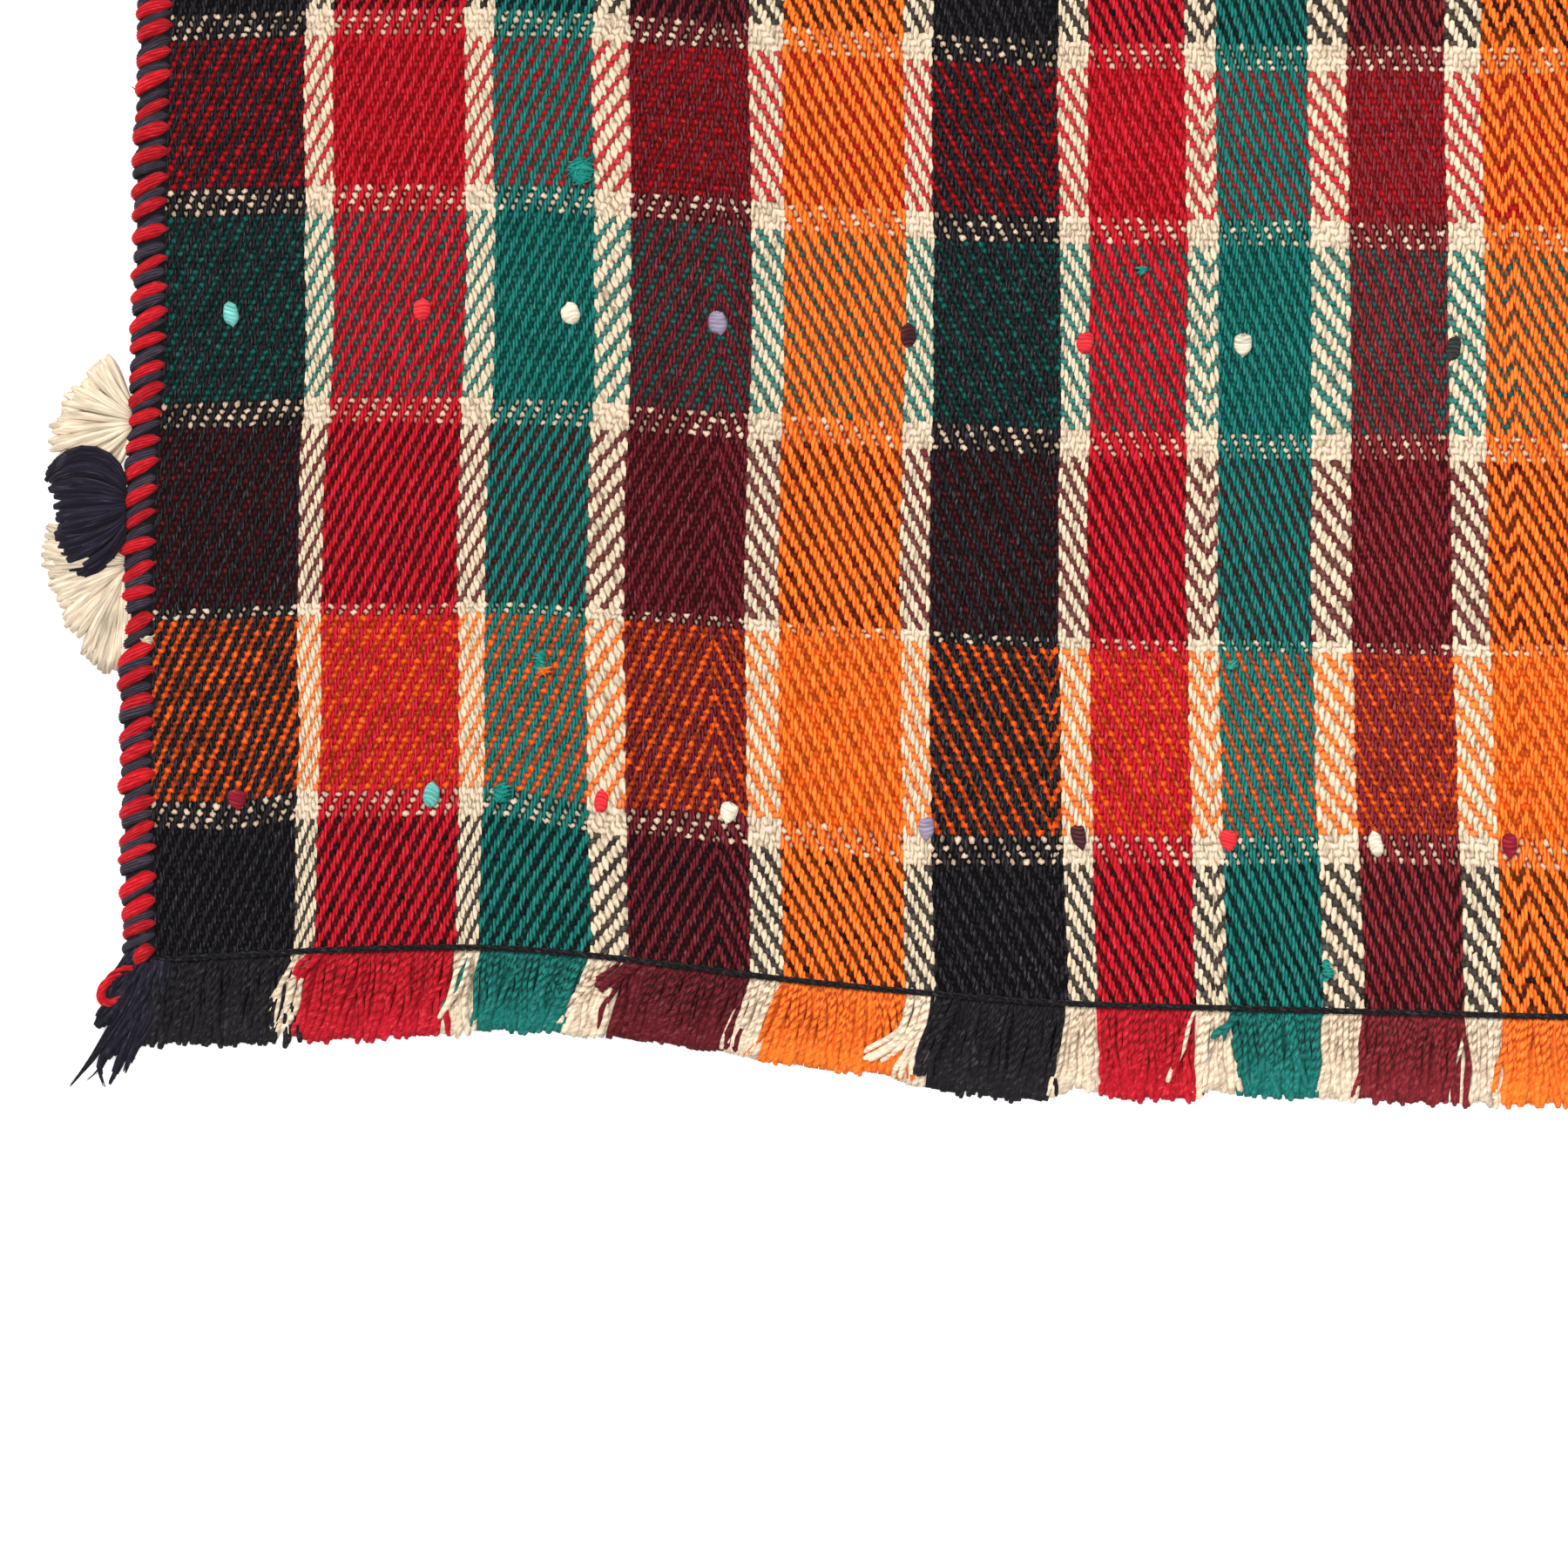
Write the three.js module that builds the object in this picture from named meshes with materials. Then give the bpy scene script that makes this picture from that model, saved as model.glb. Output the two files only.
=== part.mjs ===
// Jajim rug lying flat: plaid wool twill with overcast sides, twined ends, warp fringe,
// side tassels and small tied tufts on its face.
// Millimetres, +Z up. +X runs across the warp and +Y along it.
// The origin is the centre of the footprint, on the floor.

import * as THREE from "three";

// Driving sizes of the cloth
const halfLength = 960;
const clothThickness = 2.5;
const gap = 0.3;

// Driving sizes of what edges the cloth
const bindingWidth = 11.5;
const cordWidth = 3.6;
const cordHeight = 3.4;
const endSag = 25;
const fringeLength = 37;
const stripGap = 0.5;
const stripWidth = 2.5;
const stripHeight = 2.6;

// How far the fringe and the tassels reach from the middle
const reachAlong = 1030;
const reachAcross = 778;

// Half of the rug's width over its bindings, by the distance from the middle of its length
const sideTable = [
  { fromMiddle: 0, halfWidth: 741 },
  { fromMiddle: 200, halfWidth: 740 },
  { fromMiddle: 400, halfWidth: 741 },
  { fromMiddle: 600, halfWidth: 739.3 },
  { fromMiddle: 665, halfWidth: 741 },
  { fromMiddle: 732, halfWidth: 741.7 },
  { fromMiddle: 798, halfWidth: 745.7 },
  { fromMiddle: 898, halfWidth: 746 },
  { fromMiddle: 1000, halfWidth: 744.3 },
];

// The share of the sag that a weft line has, by the distance from the middle of the width
const sagTable = [
  { fromMiddle: 0, share: 1.1 },
  { fromMiddle: 190, share: 1.05 },
  { fromMiddle: 250, share: 0.99 },
  { fromMiddle: 320, share: 0.92 },
  { fromMiddle: 380, share: 0.85 },
  { fromMiddle: 430, share: 0.71 },
  { fromMiddle: 490, share: 0.48 },
  { fromMiddle: 545, share: 0.2 },
  { fromMiddle: 600, share: 0 },
  { fromMiddle: 660, share: 0.02 },
  { fromMiddle: 700, share: 0.1 },
  { fromMiddle: 760, share: 0.25 },
];

// The sag of a weft line in millimetres, by its distance from the middle of the length
const sagDepthTable = [
  { fromMiddle: 0, depth: 0 },
  { fromMiddle: 300, depth: 9 },
  { fromMiddle: 600, depth: 14.5 },
  { fromMiddle: 800, depth: 15 },
  { fromMiddle: 900, depth: 19 },
  { fromMiddle: 960, depth: endSag },
];

// How far the warp spreads to the right at the near end, by the place across the rug
const spreadTable = [
  { across: -730, shift: 0 },
  { across: -675, shift: 0 },
  { across: -565, shift: 3 },
  { across: -446, shift: 3.4 },
  { across: -386, shift: 6 },
  { across: -291, shift: 7.6 },
  { across: -200, shift: 9 },
  { across: 100, shift: 6 },
  { across: 400, shift: 2 },
  { across: 730, shift: 0 },
];

// Warp stripes from the left side to the right one, with the fringe locks that each one ends in
const creamLocks = 1;
const colourLocks = 3;
const warpStripes = [
  { widths: [55, 11, 50, 11.3, 38, 14.3, 45.7, 12.7, 46.3, 11] },
  { widths: [48.3, 11.3, 37, 12, 35.3, 15.3, 37, 14.3, 46, 11] },
  { widths: [50, 11, 46, 11.5, 40, 12, 44, 12, 44, 11] },
  { widths: [49, 11, 43, 11.5, 39, 12, 45, 12, 45, 11] },
  { widths: [50, 11, 46, 11.5, 40, 12, 44, 12, 44, 11] },
  { widths: [54] },
];

// Lean of the near fringe towards the right, by the place across the rug
const leanTable = [
  { across: -745, lean: -7 },
  { across: -560, lean: -9 },
  { across: -480, lean: -5 },
  { across: -400, lean: 0 },
  { across: 0, lean: 1 },
  { across: 400, lean: -3 },
  { across: 745, lean: 2 },
];

// Tied tufts: the two rows next to the near end are placed one by one, the rest by their pitch
const tuftRows = 10;
const tuftColumns = 23;
const firstTuftRow = -902.5;
const tuftRowPitch = 185.5;
const tuftPitch = 63.5;
const tuftScatter = 7;
const tuftHalfWidth = 3.8;
const tuftHalfLength = 4.6;
const tuftHeight = 2.4;
const tuftStart = -702;
const placedTufts = [
  { firstRow: -701, secondRow: -703.3 },
  { firstRow: -626.7, secondRow: -630.3 },
  { firstRow: -561.7, secondRow: -573.3 },
  { firstRow: -513, secondRow: -517 },
  { firstRow: -437.3, secondRow: -444.3 },
  { firstRow: -378.7, secondRow: -376.3 },
  { firstRow: -321.7, secondRow: -316 },
  { firstRow: -265.3, secondRow: -235.7 },
  { firstRow: -214, secondRow: -172 },
];

// Side tassels: three tufts a group, each a fan of locks from a head on the binding
const tasselGroups = [-785, -392.5, 0, 392.5, 785];
const headRadius = 5;
const headHeight = 4.2;
const tasselTufts = [
  { name: "upper", colour: "cream", along: 30, from: 112, to: 192, reaches: [28, 36, 37] },
  { name: "middle", colour: "navy", along: 0, from: 146, to: 228, reaches: [30, 32, 34] },
  { name: "lower", colour: "cream", along: -32, from: 172, to: 260, reaches: [36, 36, 43] },
];

// Colours of the pieces, seen as a whole
const colours = {
  cloth: 0x6e2a2c,
  binding: 0x8c1d28,
  cord: 0x1d1a1f,
  fringe: 0x7c3a34,
  cream: 0xe0d3b8,
  navy: 0x24223a,
};

// A smooth curve through the rows of a table
function readTable(table, place, value, at) {
  const last = table.length - 1;
  const x = THREE.MathUtils.clamp(at, table[0][place], table[last][place]);
  let i = 0;
  while (i < last - 1 && x > table[i + 1][place]) i += 1;
  const slope = (a, b) => (table[b][value] - table[a][value]) / (table[b][place] - table[a][place]);
  const run = table[i + 1][place] - table[i][place];
  const t = (x - table[i][place]) / run;
  const startSlope = slope(Math.max(i - 1, 0), i + 1) * run;
  const endSlope = slope(i, Math.min(i + 2, last)) * run;
  const startShare = 2 * t ** 3 - 3 * t ** 2 + 1;
  const endShare = 3 * t ** 2 - 2 * t ** 3;
  return (
    startShare * table[i][value] +
    endShare * table[i + 1][value] +
    (t ** 3 - 2 * t ** 2 + t) * startSlope +
    (t ** 3 - t ** 2) * endSlope
  );
}

// A repeatable scatter between -1 and 1
function scatter(number) {
  const wave = Math.sin(number * 12.9898 + 4.1414) * 43758.5453;
  return 2 * (wave - Math.floor(wave)) - 1;
}

// Half width of the cloth inside its bindings
function clothHalfWidth(y) {
  return readTable(sideTable, "fromMiddle", "halfWidth", Math.abs(y)) - bindingWidth;
}

// How far out a weft line lies at a place across the rug
function sagAt(x, straightY) {
  const share = readTable(sagTable, "fromMiddle", "share", Math.abs(x));
  const depth = readTable(sagDepthTable, "fromMiddle", "depth", Math.abs(straightY));
  return share * depth * Math.sign(straightY);
}

// The line on which the weaving ends, as a distance from the middle
function endLine(x) {
  return halfLength + sagAt(x, halfLength);
}

// Points and triangles of one closed solid
class Solid {
  constructor() {
    this.points = [];
    this.triangles = [];
  }

  point(x, y, z) {
    this.points.push(x, y, z);
    return this.points.length / 3 - 1;
  }

  triangle(a, b, c) {
    this.triangles.push(a, b, c);
  }

  quad(a, b, c, d) {
    this.triangle(a, b, c);
    this.triangle(a, c, d);
  }

  geometry() {
    const geometry = new THREE.BufferGeometry();
    geometry.setAttribute("position", new THREE.Float32BufferAttribute(this.points, 3));
    geometry.setIndex(this.triangles);
    geometry.computeVertexNormals();
    return geometry;
  }
}

// The same solid on the other side of the rug, its faces still pointing out
function mirrored(geometry, axis) {
  const copy = geometry.clone();
  const place = copy.getAttribute("position");
  for (let i = 0; i < place.count; i += 1) {
    place.setComponent(i, axis, -place.getComponent(i, axis));
  }
  const order = Array.from(copy.getIndex().array);
  for (let i = 0; i < order.length; i += 3) {
    [order[i + 1], order[i + 2]] = [order[i + 2], order[i + 1]];
  }
  copy.setIndex(order);
  copy.computeVertexNormals();
  return copy;
}

// Places across the rug at which its ends are drawn, and along it for its sides
const endSteps = 60;
const sideSteps = 48;
const cornerHalfWidth = clothHalfWidth(halfLength);
const cornerY = endLine(cornerHalfWidth);

function endStations(halfWidth) {
  const stations = [];
  for (let i = 0; i <= endSteps; i += 1) {
    stations.push(halfWidth * ((2 * i) / endSteps - 1));
  }
  return stations;
}

function sideStations() {
  const stations = [];
  for (let i = 0; i <= sideSteps; i += 1) {
    stations.push(cornerY * ((2 * i) / sideSteps - 1));
  }
  return stations;
}

// Outline of the cloth, counter-clockwise from its near left corner
function clothOutline() {
  const outline = [];
  const across = endStations(cornerHalfWidth);
  for (const x of across) {
    outline.push(new THREE.Vector2(x, -endLine(x)));
  }
  const along = sideStations().slice(1, -1);
  for (const y of along) {
    outline.push(new THREE.Vector2(clothHalfWidth(y), y));
  }
  for (const x of across.reverse()) {
    outline.push(new THREE.Vector2(x, endLine(x)));
  }
  for (const y of along.reverse()) {
    outline.push(new THREE.Vector2(-clothHalfWidth(y), y));
  }
  return outline;
}

// Middles of the tied tufts
function tuftPlaces() {
  const places = [];
  const lastPlaced = placedTufts.length - 1;
  for (let row = 0; row < tuftRows; row += 1) {
    const straightY = firstTuftRow + row * tuftRowPitch;
    for (let column = 0; column < tuftColumns; column += 1) {
      const number = row * tuftColumns + column;
      const placed = placedTufts[Math.min(column, lastPlaced)];
      const start = [placed.firstRow, placed.secondRow][row] ?? tuftStart;
      const steps = row < 2 ? Math.max(column - lastPlaced, 0) : column;
      const x = start + steps * tuftPitch + (steps > 0 ? tuftScatter * scatter(number) : 0);
      if (Math.abs(x) > cornerHalfWidth - 3 * tuftHalfWidth) continue;
      places.push({ x, y: straightY + sagAt(x, straightY) });
    }
  }
  return places;
}

// The six corners of a tuft's foot or crown, clockwise seen from above
const tuftSides = 6;
function tuftRing(place, size) {
  const ring = [];
  for (let i = 0; i < tuftSides; i += 1) {
    const turn = (-2 * Math.PI * i) / tuftSides + Math.PI / 2;
    const x = place.x + size * tuftHalfWidth * Math.cos(turn);
    const y = place.y + size * tuftHalfLength * Math.sin(turn);
    ring.push(new THREE.Vector2(x, y));
  }
  return ring;
}

// The cloth: one flat sheet whose upper face rises into the tied tufts
function clothGeometry() {
  const solid = new Solid();
  const outline = clothOutline();
  const places = tuftPlaces();
  const feet = places.map((place) => tuftRing(place, 1));
  const top = outline.map((p) => solid.point(p.x, p.y, clothThickness));
  const bottom = outline.map((p) => solid.point(p.x, p.y, 0));
  const footPoints = feet.map((ring) => ring.map((p) => solid.point(p.x, p.y, clothThickness)));

  const upper = [...top, ...footPoints.flat()];
  for (const [a, b, c] of THREE.ShapeUtils.triangulateShape(outline, feet)) {
    solid.triangle(upper[a], upper[b], upper[c]);
  }
  for (const [a, b, c] of THREE.ShapeUtils.triangulateShape(outline, [])) {
    solid.triangle(bottom[a], bottom[c], bottom[b]);
  }
  for (let i = 0; i < outline.length; i += 1) {
    const next = (i + 1) % outline.length;
    solid.quad(bottom[i], bottom[next], top[next], top[i]);
  }

  const crownShare = 0.55;
  places.forEach((place, n) => {
    const foot = footPoints[n];
    const crown = tuftRing(place, crownShare)
      .filter((corner, i) => i % 2 === 0)
      .map((p) => solid.point(p.x, p.y, clothThickness + tuftHeight));
    for (let i = 0; i < crown.length; i += 1) {
      const next = (i + 1) % crown.length;
      const here = foot[2 * i];
      const between = foot[2 * i + 1];
      const beyond = foot[(2 * i + 2) % tuftSides];
      solid.triangle(crown[i], between, here);
      solid.triangle(crown[i], crown[next], between);
      solid.triangle(crown[next], beyond, between);
    }
    solid.triangle(crown[0], crown[2], crown[1]);
  });
  return solid.geometry();
}

// A bar of constant section swept through stations, closed at both ends.
// Each station is a ring of points, listed clockwise as seen from the bar's start.
function sweptBar(rings) {
  const solid = new Solid();
  const rows = rings.map((ring) => ring.map(([x, y, z]) => solid.point(x, y, z)));
  const sides = rings[0].length;
  for (let r = 0; r < rows.length - 1; r += 1) {
    for (let i = 0; i < sides; i += 1) {
      const j = (i + 1) % sides;
      solid.quad(rows[r][i], rows[r][j], rows[r + 1][j], rows[r + 1][i]);
    }
  }
  const first = rows[0];
  const last = rows[rows.length - 1];
  for (let i = 1; i < sides - 1; i += 1) {
    solid.triangle(first[0], first[i + 1], first[i]);
    solid.triangle(last[0], last[i], last[i + 1]);
  }
  return solid.geometry();
}

// The left binding: a thick overcast edge, flat below and rounded above.
// The section is given by its distance out from the cloth and its height.
const bindingSection = [
  { out: 0, height: 0 },
  { out: 0, height: 2.4 },
  { out: 1.2, height: 3.7 },
  { out: 5.4, height: 4.4 },
  { out: 9.4, height: 3.6 },
  { out: 11.2, height: 1.5 },
  { out: 10, height: 0 },
];
const bindingUnevenness = 0.2;

function bindingGeometry() {
  const stations = sideStations();
  const beyondCord = cordWidth + gap;
  stations[0] -= beyondCord;
  stations[stations.length - 1] += beyondCord;
  const rings = stations.reverse().map((y, n) =>
    bindingSection.map(({ out, height }) => {
      const uneven = out > 0 ? bindingUnevenness * scatter(n + out) : 0;
      return [-(clothHalfWidth(y) + gap + out + uneven), y, height];
    }),
  );
  return sweptBar(rings);
}

// The near end cord: a thin round-topped bar beside the last pick
const cordSection = [
  { out: 0, height: 0 },
  { out: 0, height: 0.62 },
  { out: 0.28, height: 1 },
  { out: 0.72, height: 1 },
  { out: 1, height: 0.62 },
  { out: 1, height: 0 },
];

function cordGeometry() {
  const rings = endStations(cornerHalfWidth - gap).map((x) =>
    cordSection.map(({ out, height }) => [
      x,
      -(endLine(x) + gap + out * cordWidth),
      height * cordHeight,
    ]),
  );
  return sweptBar(rings);
}

// A row of three-sided locks that lie on the floor, their roots fused into one strip.
// Each lock has an inner point of the strip, and rows of left, ridge and right points.
// Seen from above, the locks follow each other counter-clockwise round the rug.
function combGeometry(start, locks, end, backHeight) {
  const solid = new Solid();
  const inner = [start, ...locks.map((lock) => lock.inner), end].map(([x, y]) => ({
    low: solid.point(x, y, 0),
    high: solid.point(x, y, backHeight),
  }));
  const rows = locks.map((lock) =>
    lock.rows.map(({ left, ridge, right }) => ({
      left: solid.point(left[0], left[1], 0),
      ridge: solid.point(...ridge),
      right: solid.point(right[0], right[1], 0),
    })),
  );
  rows.forEach((row, n) => {
    for (let k = 0; k < row.length - 1; k += 1) {
      const a = row[k];
      const b = row[k + 1];
      solid.quad(a.left, b.left, b.ridge, a.ridge);
      solid.quad(a.ridge, b.ridge, b.right, a.right);
      solid.quad(a.right, b.right, b.left, a.left);
    }
    const tip = row[row.length - 1];
    solid.triangle(tip.left, tip.right, tip.ridge);
    const root = row[0];
    const back = inner[n + 1];
    solid.triangle(back.low, root.right, root.left);
    if (n === rows.length - 1) return;
    const next = rows[n + 1][0];
    const nextBack = inner[n + 2];
    solid.quad(root.right, next.left, next.ridge, root.ridge);
    solid.quad(root.ridge, next.ridge, nextBack.high, back.high);
    solid.quad(back.low, nextBack.low, next.left, root.right);
  });
  for (let n = 0; n < inner.length - 1; n += 1) {
    solid.quad(inner[n].low, inner[n].high, inner[n + 1].high, inner[n + 1].low);
  }
  const first = rows[0][0];
  const last = rows[rows.length - 1][0];
  const begin = inner[0];
  const finish = inner[inner.length - 1];
  const afterBegin = inner[1];
  const beforeFinish = inner[inner.length - 2];
  solid.quad(begin.low, first.left, first.ridge, begin.high);
  solid.triangle(begin.high, first.ridge, afterBegin.high);
  solid.triangle(begin.low, afterBegin.low, first.left);
  solid.quad(finish.low, finish.high, last.ridge, last.right);
  solid.triangle(last.ridge, finish.high, beforeFinish.high);
  solid.triangle(beforeFinish.low, finish.low, last.right);
  return solid.geometry();
}

// Where the fringe locks are rooted, as bands across the rug from stripe to stripe
function lockBands(spreadShare) {
  const widths = warpStripes.flatMap((cycle) => cycle.widths);
  const total = widths.reduce((sum, width) => sum + width, 0);
  const spread = (x) => x + spreadShare * readTable(spreadTable, "across", "shift", x);
  const place = (run) => spread(cornerHalfWidth * ((2 * run) / total - 1));
  const bands = [];
  let run = 0;
  widths.forEach((width, n) => {
    const count = n % 2 === 1 ? creamLocks : colourLocks;
    for (let i = 0; i < count; i += 1) {
      bands.push([place(run + (width * i) / count), place(run + (width * (i + 1)) / count)]);
    }
    run += width;
  });
  return bands;
}

// The fringe at the near end, or at the far end once mirrored
const lockRidge = 3;
const lockTipHeight = 1.4;
const lockRoom = 0.5;
const lockMiddle = 0.45;
const lockMiddleShare = 0.94;
const lockTipShare = 0.82;
const lockUnevenness = 3;
const lockCurve = 1.5;
const tipScatter = 0.6;
const strayBand = 7;
const strayLean = -36;
const strayLength = 50;

function fringeGeometry({ spreadShare, leanShare, stray, seed }) {
  const bands = lockBands(spreadShare);
  const lineAt = (x) => endLine(x) + gap + cordWidth + stripGap;
  const locks = bands.map(([from, to], n) => {
    const isStray = stray && n === 0;
    const left = from + (n === 0 ? 0 : lockRoom / 2);
    const right = isStray ? from + strayBand : to - lockRoom / 2;
    const middle = (left + right) / 2;
    const half = (right - left) / 2;
    const lean = isStray ? strayLean : leanShare * readTable(leanTable, "across", "lean", middle);
    const length = isStray ? strayLength : fringeLength + lockUnevenness * scatter(n + seed);
    const row = (share, widthShare, height) => {
      const x = middle + lean * share ** lockCurve + tipScatter * share * scatter(2 * n + seed);
      const out = (rootX) => {
        const reach = lineAt(rootX) + stripWidth + share * (length - stripWidth);
        return -Math.min(reach, reachAlong);
      };
      return {
        left: [x - half * widthShare, out(middle - half)],
        ridge: [x, out(middle), height],
        right: [x + half * widthShare, out(middle + half)],
      };
    };
    return {
      inner: [middle, -lineAt(middle)],
      rows: [
        row(0, 1, stripHeight),
        row(lockMiddle, lockMiddleShare, lockRidge),
        row(1, lockTipShare, lockTipHeight),
      ],
    };
  });
  const start = [-cornerHalfWidth, -lineAt(cornerHalfWidth)];
  const end = [cornerHalfWidth, -lineAt(cornerHalfWidth)];
  locks[0].rows[0].left[0] = -cornerHalfWidth;
  locks[locks.length - 1].rows[0].right[0] = cornerHalfWidth;
  return combGeometry(start, locks, end, stripHeight);
}

// One tuft of a side tassel on the left side, its locks fanned out from its head
const tasselRidge = 5;
const tasselTipHeight = 1.8;
const tasselMiddle = 0.55;
const tasselFill = 0.46;
const tasselTipShare = 0.86;

function tasselGeometry(tuft, groupY) {
  const rootY = groupY + tuft.along;
  const edges = [-headRadius, 0, headRadius].map((dy) => clothHalfWidth(rootY + dy));
  const rootX = -(Math.max(...edges) + bindingWidth + bindingUnevenness + gap);
  const spot = (degrees, radius) => {
    const turn = THREE.MathUtils.degToRad(degrees);
    const x = Math.max(rootX + radius * Math.cos(turn), -reachAcross);
    return [x, rootY + radius * Math.sin(turn)];
  };
  const step = (tuft.to - tuft.from) / tuft.reaches.length;
  const locks = tuft.reaches.map((reach, n) => {
    const middle = tuft.from + step * (n + 0.5);
    const row = (radius, halfAngle, height) => ({
      left: spot(middle - halfAngle, radius),
      ridge: [...spot(middle, radius), height],
      right: spot(middle + halfAngle, radius),
    });
    return {
      inner: [rootX, spot(middle, headRadius)[1]],
      rows: [
        row(headRadius, tasselFill * step, headHeight),
        row(tasselMiddle * reach, tasselFill * step, tasselRidge),
        row(reach, tasselFill * tasselTipShare * step, tasselTipHeight),
      ],
    };
  });
  const start = [rootX, locks[0].rows[0].left[1]];
  const end = [rootX, locks[locks.length - 1].rows[0].right[1]];
  return combGeometry(start, locks, end, headHeight);
}

// Assembly
const rug = new THREE.Group();
const acrossAxis = 0;
const alongAxis = 1;

function wool(colour, roughness) {
  return new THREE.MeshStandardMaterial({ color: colour, roughness, metalness: 0 });
}

function add(name, geometry, material) {
  const mesh = new THREE.Mesh(geometry, material);
  mesh.name = name;
  rug.add(mesh);
}

add("cloth", clothGeometry(), wool(colours.cloth, 0.92));

const leftBinding = bindingGeometry();
add("binding_left", leftBinding, wool(colours.binding, 0.85));
add("binding_right", mirrored(leftBinding, acrossAxis), wool(colours.binding, 0.85));

const nearCord = cordGeometry();
add("cord_near", nearCord, wool(colours.cord, 0.9));
add("cord_far", mirrored(nearCord, alongAxis), wool(colours.cord, 0.9));

const nearFringe = fringeGeometry({ spreadShare: 1, leanShare: 1, stray: true, seed: 31 });
const farFringe = fringeGeometry({ spreadShare: 0, leanShare: -0.6, stray: false, seed: 5 });
add("fringe_near", nearFringe, wool(colours.fringe, 0.92));
add("fringe_far", mirrored(farFringe, alongAxis), wool(colours.fringe, 0.92));

tasselGroups.forEach((groupY, n) => {
  for (const tuft of tasselTufts) {
    const geometry = tasselGeometry(tuft, groupY);
    const material = wool(colours[tuft.colour], 0.88);
    add(`tassel_left_${n + 1}_${tuft.name}`, geometry, material);
    add(`tassel_right_${n + 1}_${tuft.name}`, mirrored(geometry, acrossAxis), material.clone());
  }
});

export default rug;
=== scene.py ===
import math

import bpy
import numpy as np
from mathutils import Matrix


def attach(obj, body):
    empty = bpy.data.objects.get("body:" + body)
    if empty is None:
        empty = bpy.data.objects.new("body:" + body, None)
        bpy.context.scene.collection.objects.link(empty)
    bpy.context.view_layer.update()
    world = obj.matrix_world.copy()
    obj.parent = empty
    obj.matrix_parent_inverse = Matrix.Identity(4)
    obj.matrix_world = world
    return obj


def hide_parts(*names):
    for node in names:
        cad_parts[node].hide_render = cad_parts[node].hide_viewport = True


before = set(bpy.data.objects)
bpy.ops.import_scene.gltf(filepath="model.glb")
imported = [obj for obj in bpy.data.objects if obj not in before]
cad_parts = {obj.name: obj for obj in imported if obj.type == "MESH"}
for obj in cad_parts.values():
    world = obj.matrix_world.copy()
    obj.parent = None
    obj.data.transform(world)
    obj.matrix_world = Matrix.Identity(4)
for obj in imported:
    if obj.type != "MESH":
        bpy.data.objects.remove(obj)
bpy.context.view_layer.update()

# The viewpoint: a camera straight above the near left corner, as the photograph was taken,
# with soft light from the upper left, a weak fill from the right and a white floor.
mm = 0.001
view_middle = (-491.67 * mm, -898.33 * mm)
view_width = 600 * mm
lens = 85
sensor = 36
face_height = 2.5 * mm
camera_height = view_width * lens / sensor + face_height

bpy.context.scene.view_settings.view_transform = "Standard"
bpy.ops.object.select_all(action="DESELECT")
bpy.ops.object.camera_add(location=(*view_middle, camera_height), rotation=(0, 0, 0))
camera = bpy.context.object
camera.data.lens = lens
camera.data.sensor_width = sensor
bpy.context.scene.camera = camera

light_tilt = math.radians(42)
light_turn = math.radians(-135)
light_spread = math.radians(24)
fill_place = (150 * mm, -900 * mm, 1100 * mm)
fill_size = 1400 * mm
bpy.ops.object.light_add(type="SUN", rotation=(light_tilt, 0, light_turn))
bpy.context.object.data.energy = 2.05
bpy.context.object.data.angle = light_spread
bpy.ops.object.light_add(type="AREA", location=fill_place)
bpy.context.object.data.size = fill_size
bpy.context.object.data.energy = 8

studio = bpy.data.worlds.new("studio")
studio.use_nodes = True
studio.node_tree.nodes["Background"].inputs["Color"].default_value = (1, 1, 1, 1)
studio.node_tree.nodes["Background"].inputs["Strength"].default_value = 0.44
bpy.context.scene.world = studio

floor_drop = 0.2 * mm
floor_size = 14
bpy.ops.mesh.primitive_plane_add(size=floor_size, location=(0, 0, -floor_drop))
floor = bpy.context.object
floor.name = "floor"
white = bpy.data.materials.new("white floor")
white.use_nodes = True
paint = white.node_tree.nodes["Principled BSDF"].inputs
paint["Base Color"].default_value = (0.9, 0.9, 0.9, 1)
paint["Roughness"].default_value = 0.9
paint["Emission Color"].default_value = (1, 1, 1, 1)
paint["Emission Strength"].default_value = 0.6
floor.data.materials.append(white)

# The cloth: one width of 2/2 twill in hard-spun wool, plaid, lying flat with its face up.
# The cream yarn is thicker than the coloured yarns. The weft lines sag towards the ends,
# and near the corner the warp fans out a little.
half_length = 960
cloth_thickness = 2.5
binding_width = 11.5


def read_table(places, values, at):
    """A smooth curve through the rows of a table."""
    places, values = np.array(places, float), np.array(values, float)
    last = len(places) - 1
    at = np.clip(at, places[0], places[last])
    i = np.clip(np.searchsorted(places, at) - 1, 0, last - 1)
    slope = lambda a, b: (values[b] - values[a]) / (places[b] - places[a])
    run = places[i + 1] - places[i]
    t = (at - places[i]) / run
    start_slope = slope(np.maximum(i - 1, 0), i + 1) * run
    end_slope = slope(i, np.minimum(i + 2, last)) * run
    start_share = 2 * t**3 - 3 * t**2 + 1
    return (
        start_share * values[i]
        + (1 - start_share) * values[i + 1]
        + (t**3 - 2 * t**2 + t) * start_slope
        + (t**3 - t**2) * end_slope
    )


# Half of the rug's width over its bindings, by the distance from the middle of its length
side_place = [0, 200, 400, 600, 665, 732, 798, 898, 1000]
side_half_width = [741, 740, 741, 739.3, 741, 741.7, 745.7, 746, 744.3]
# The share of the sag that a weft line has, by the distance from the middle of the width
sag_place = [0, 190, 250, 320, 380, 430, 490, 545, 600, 660, 700, 760]
sag_share = [1.1, 1.05, 0.99, 0.92, 0.85, 0.71, 0.48, 0.2, 0, 0.02, 0.1, 0.25]
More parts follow.
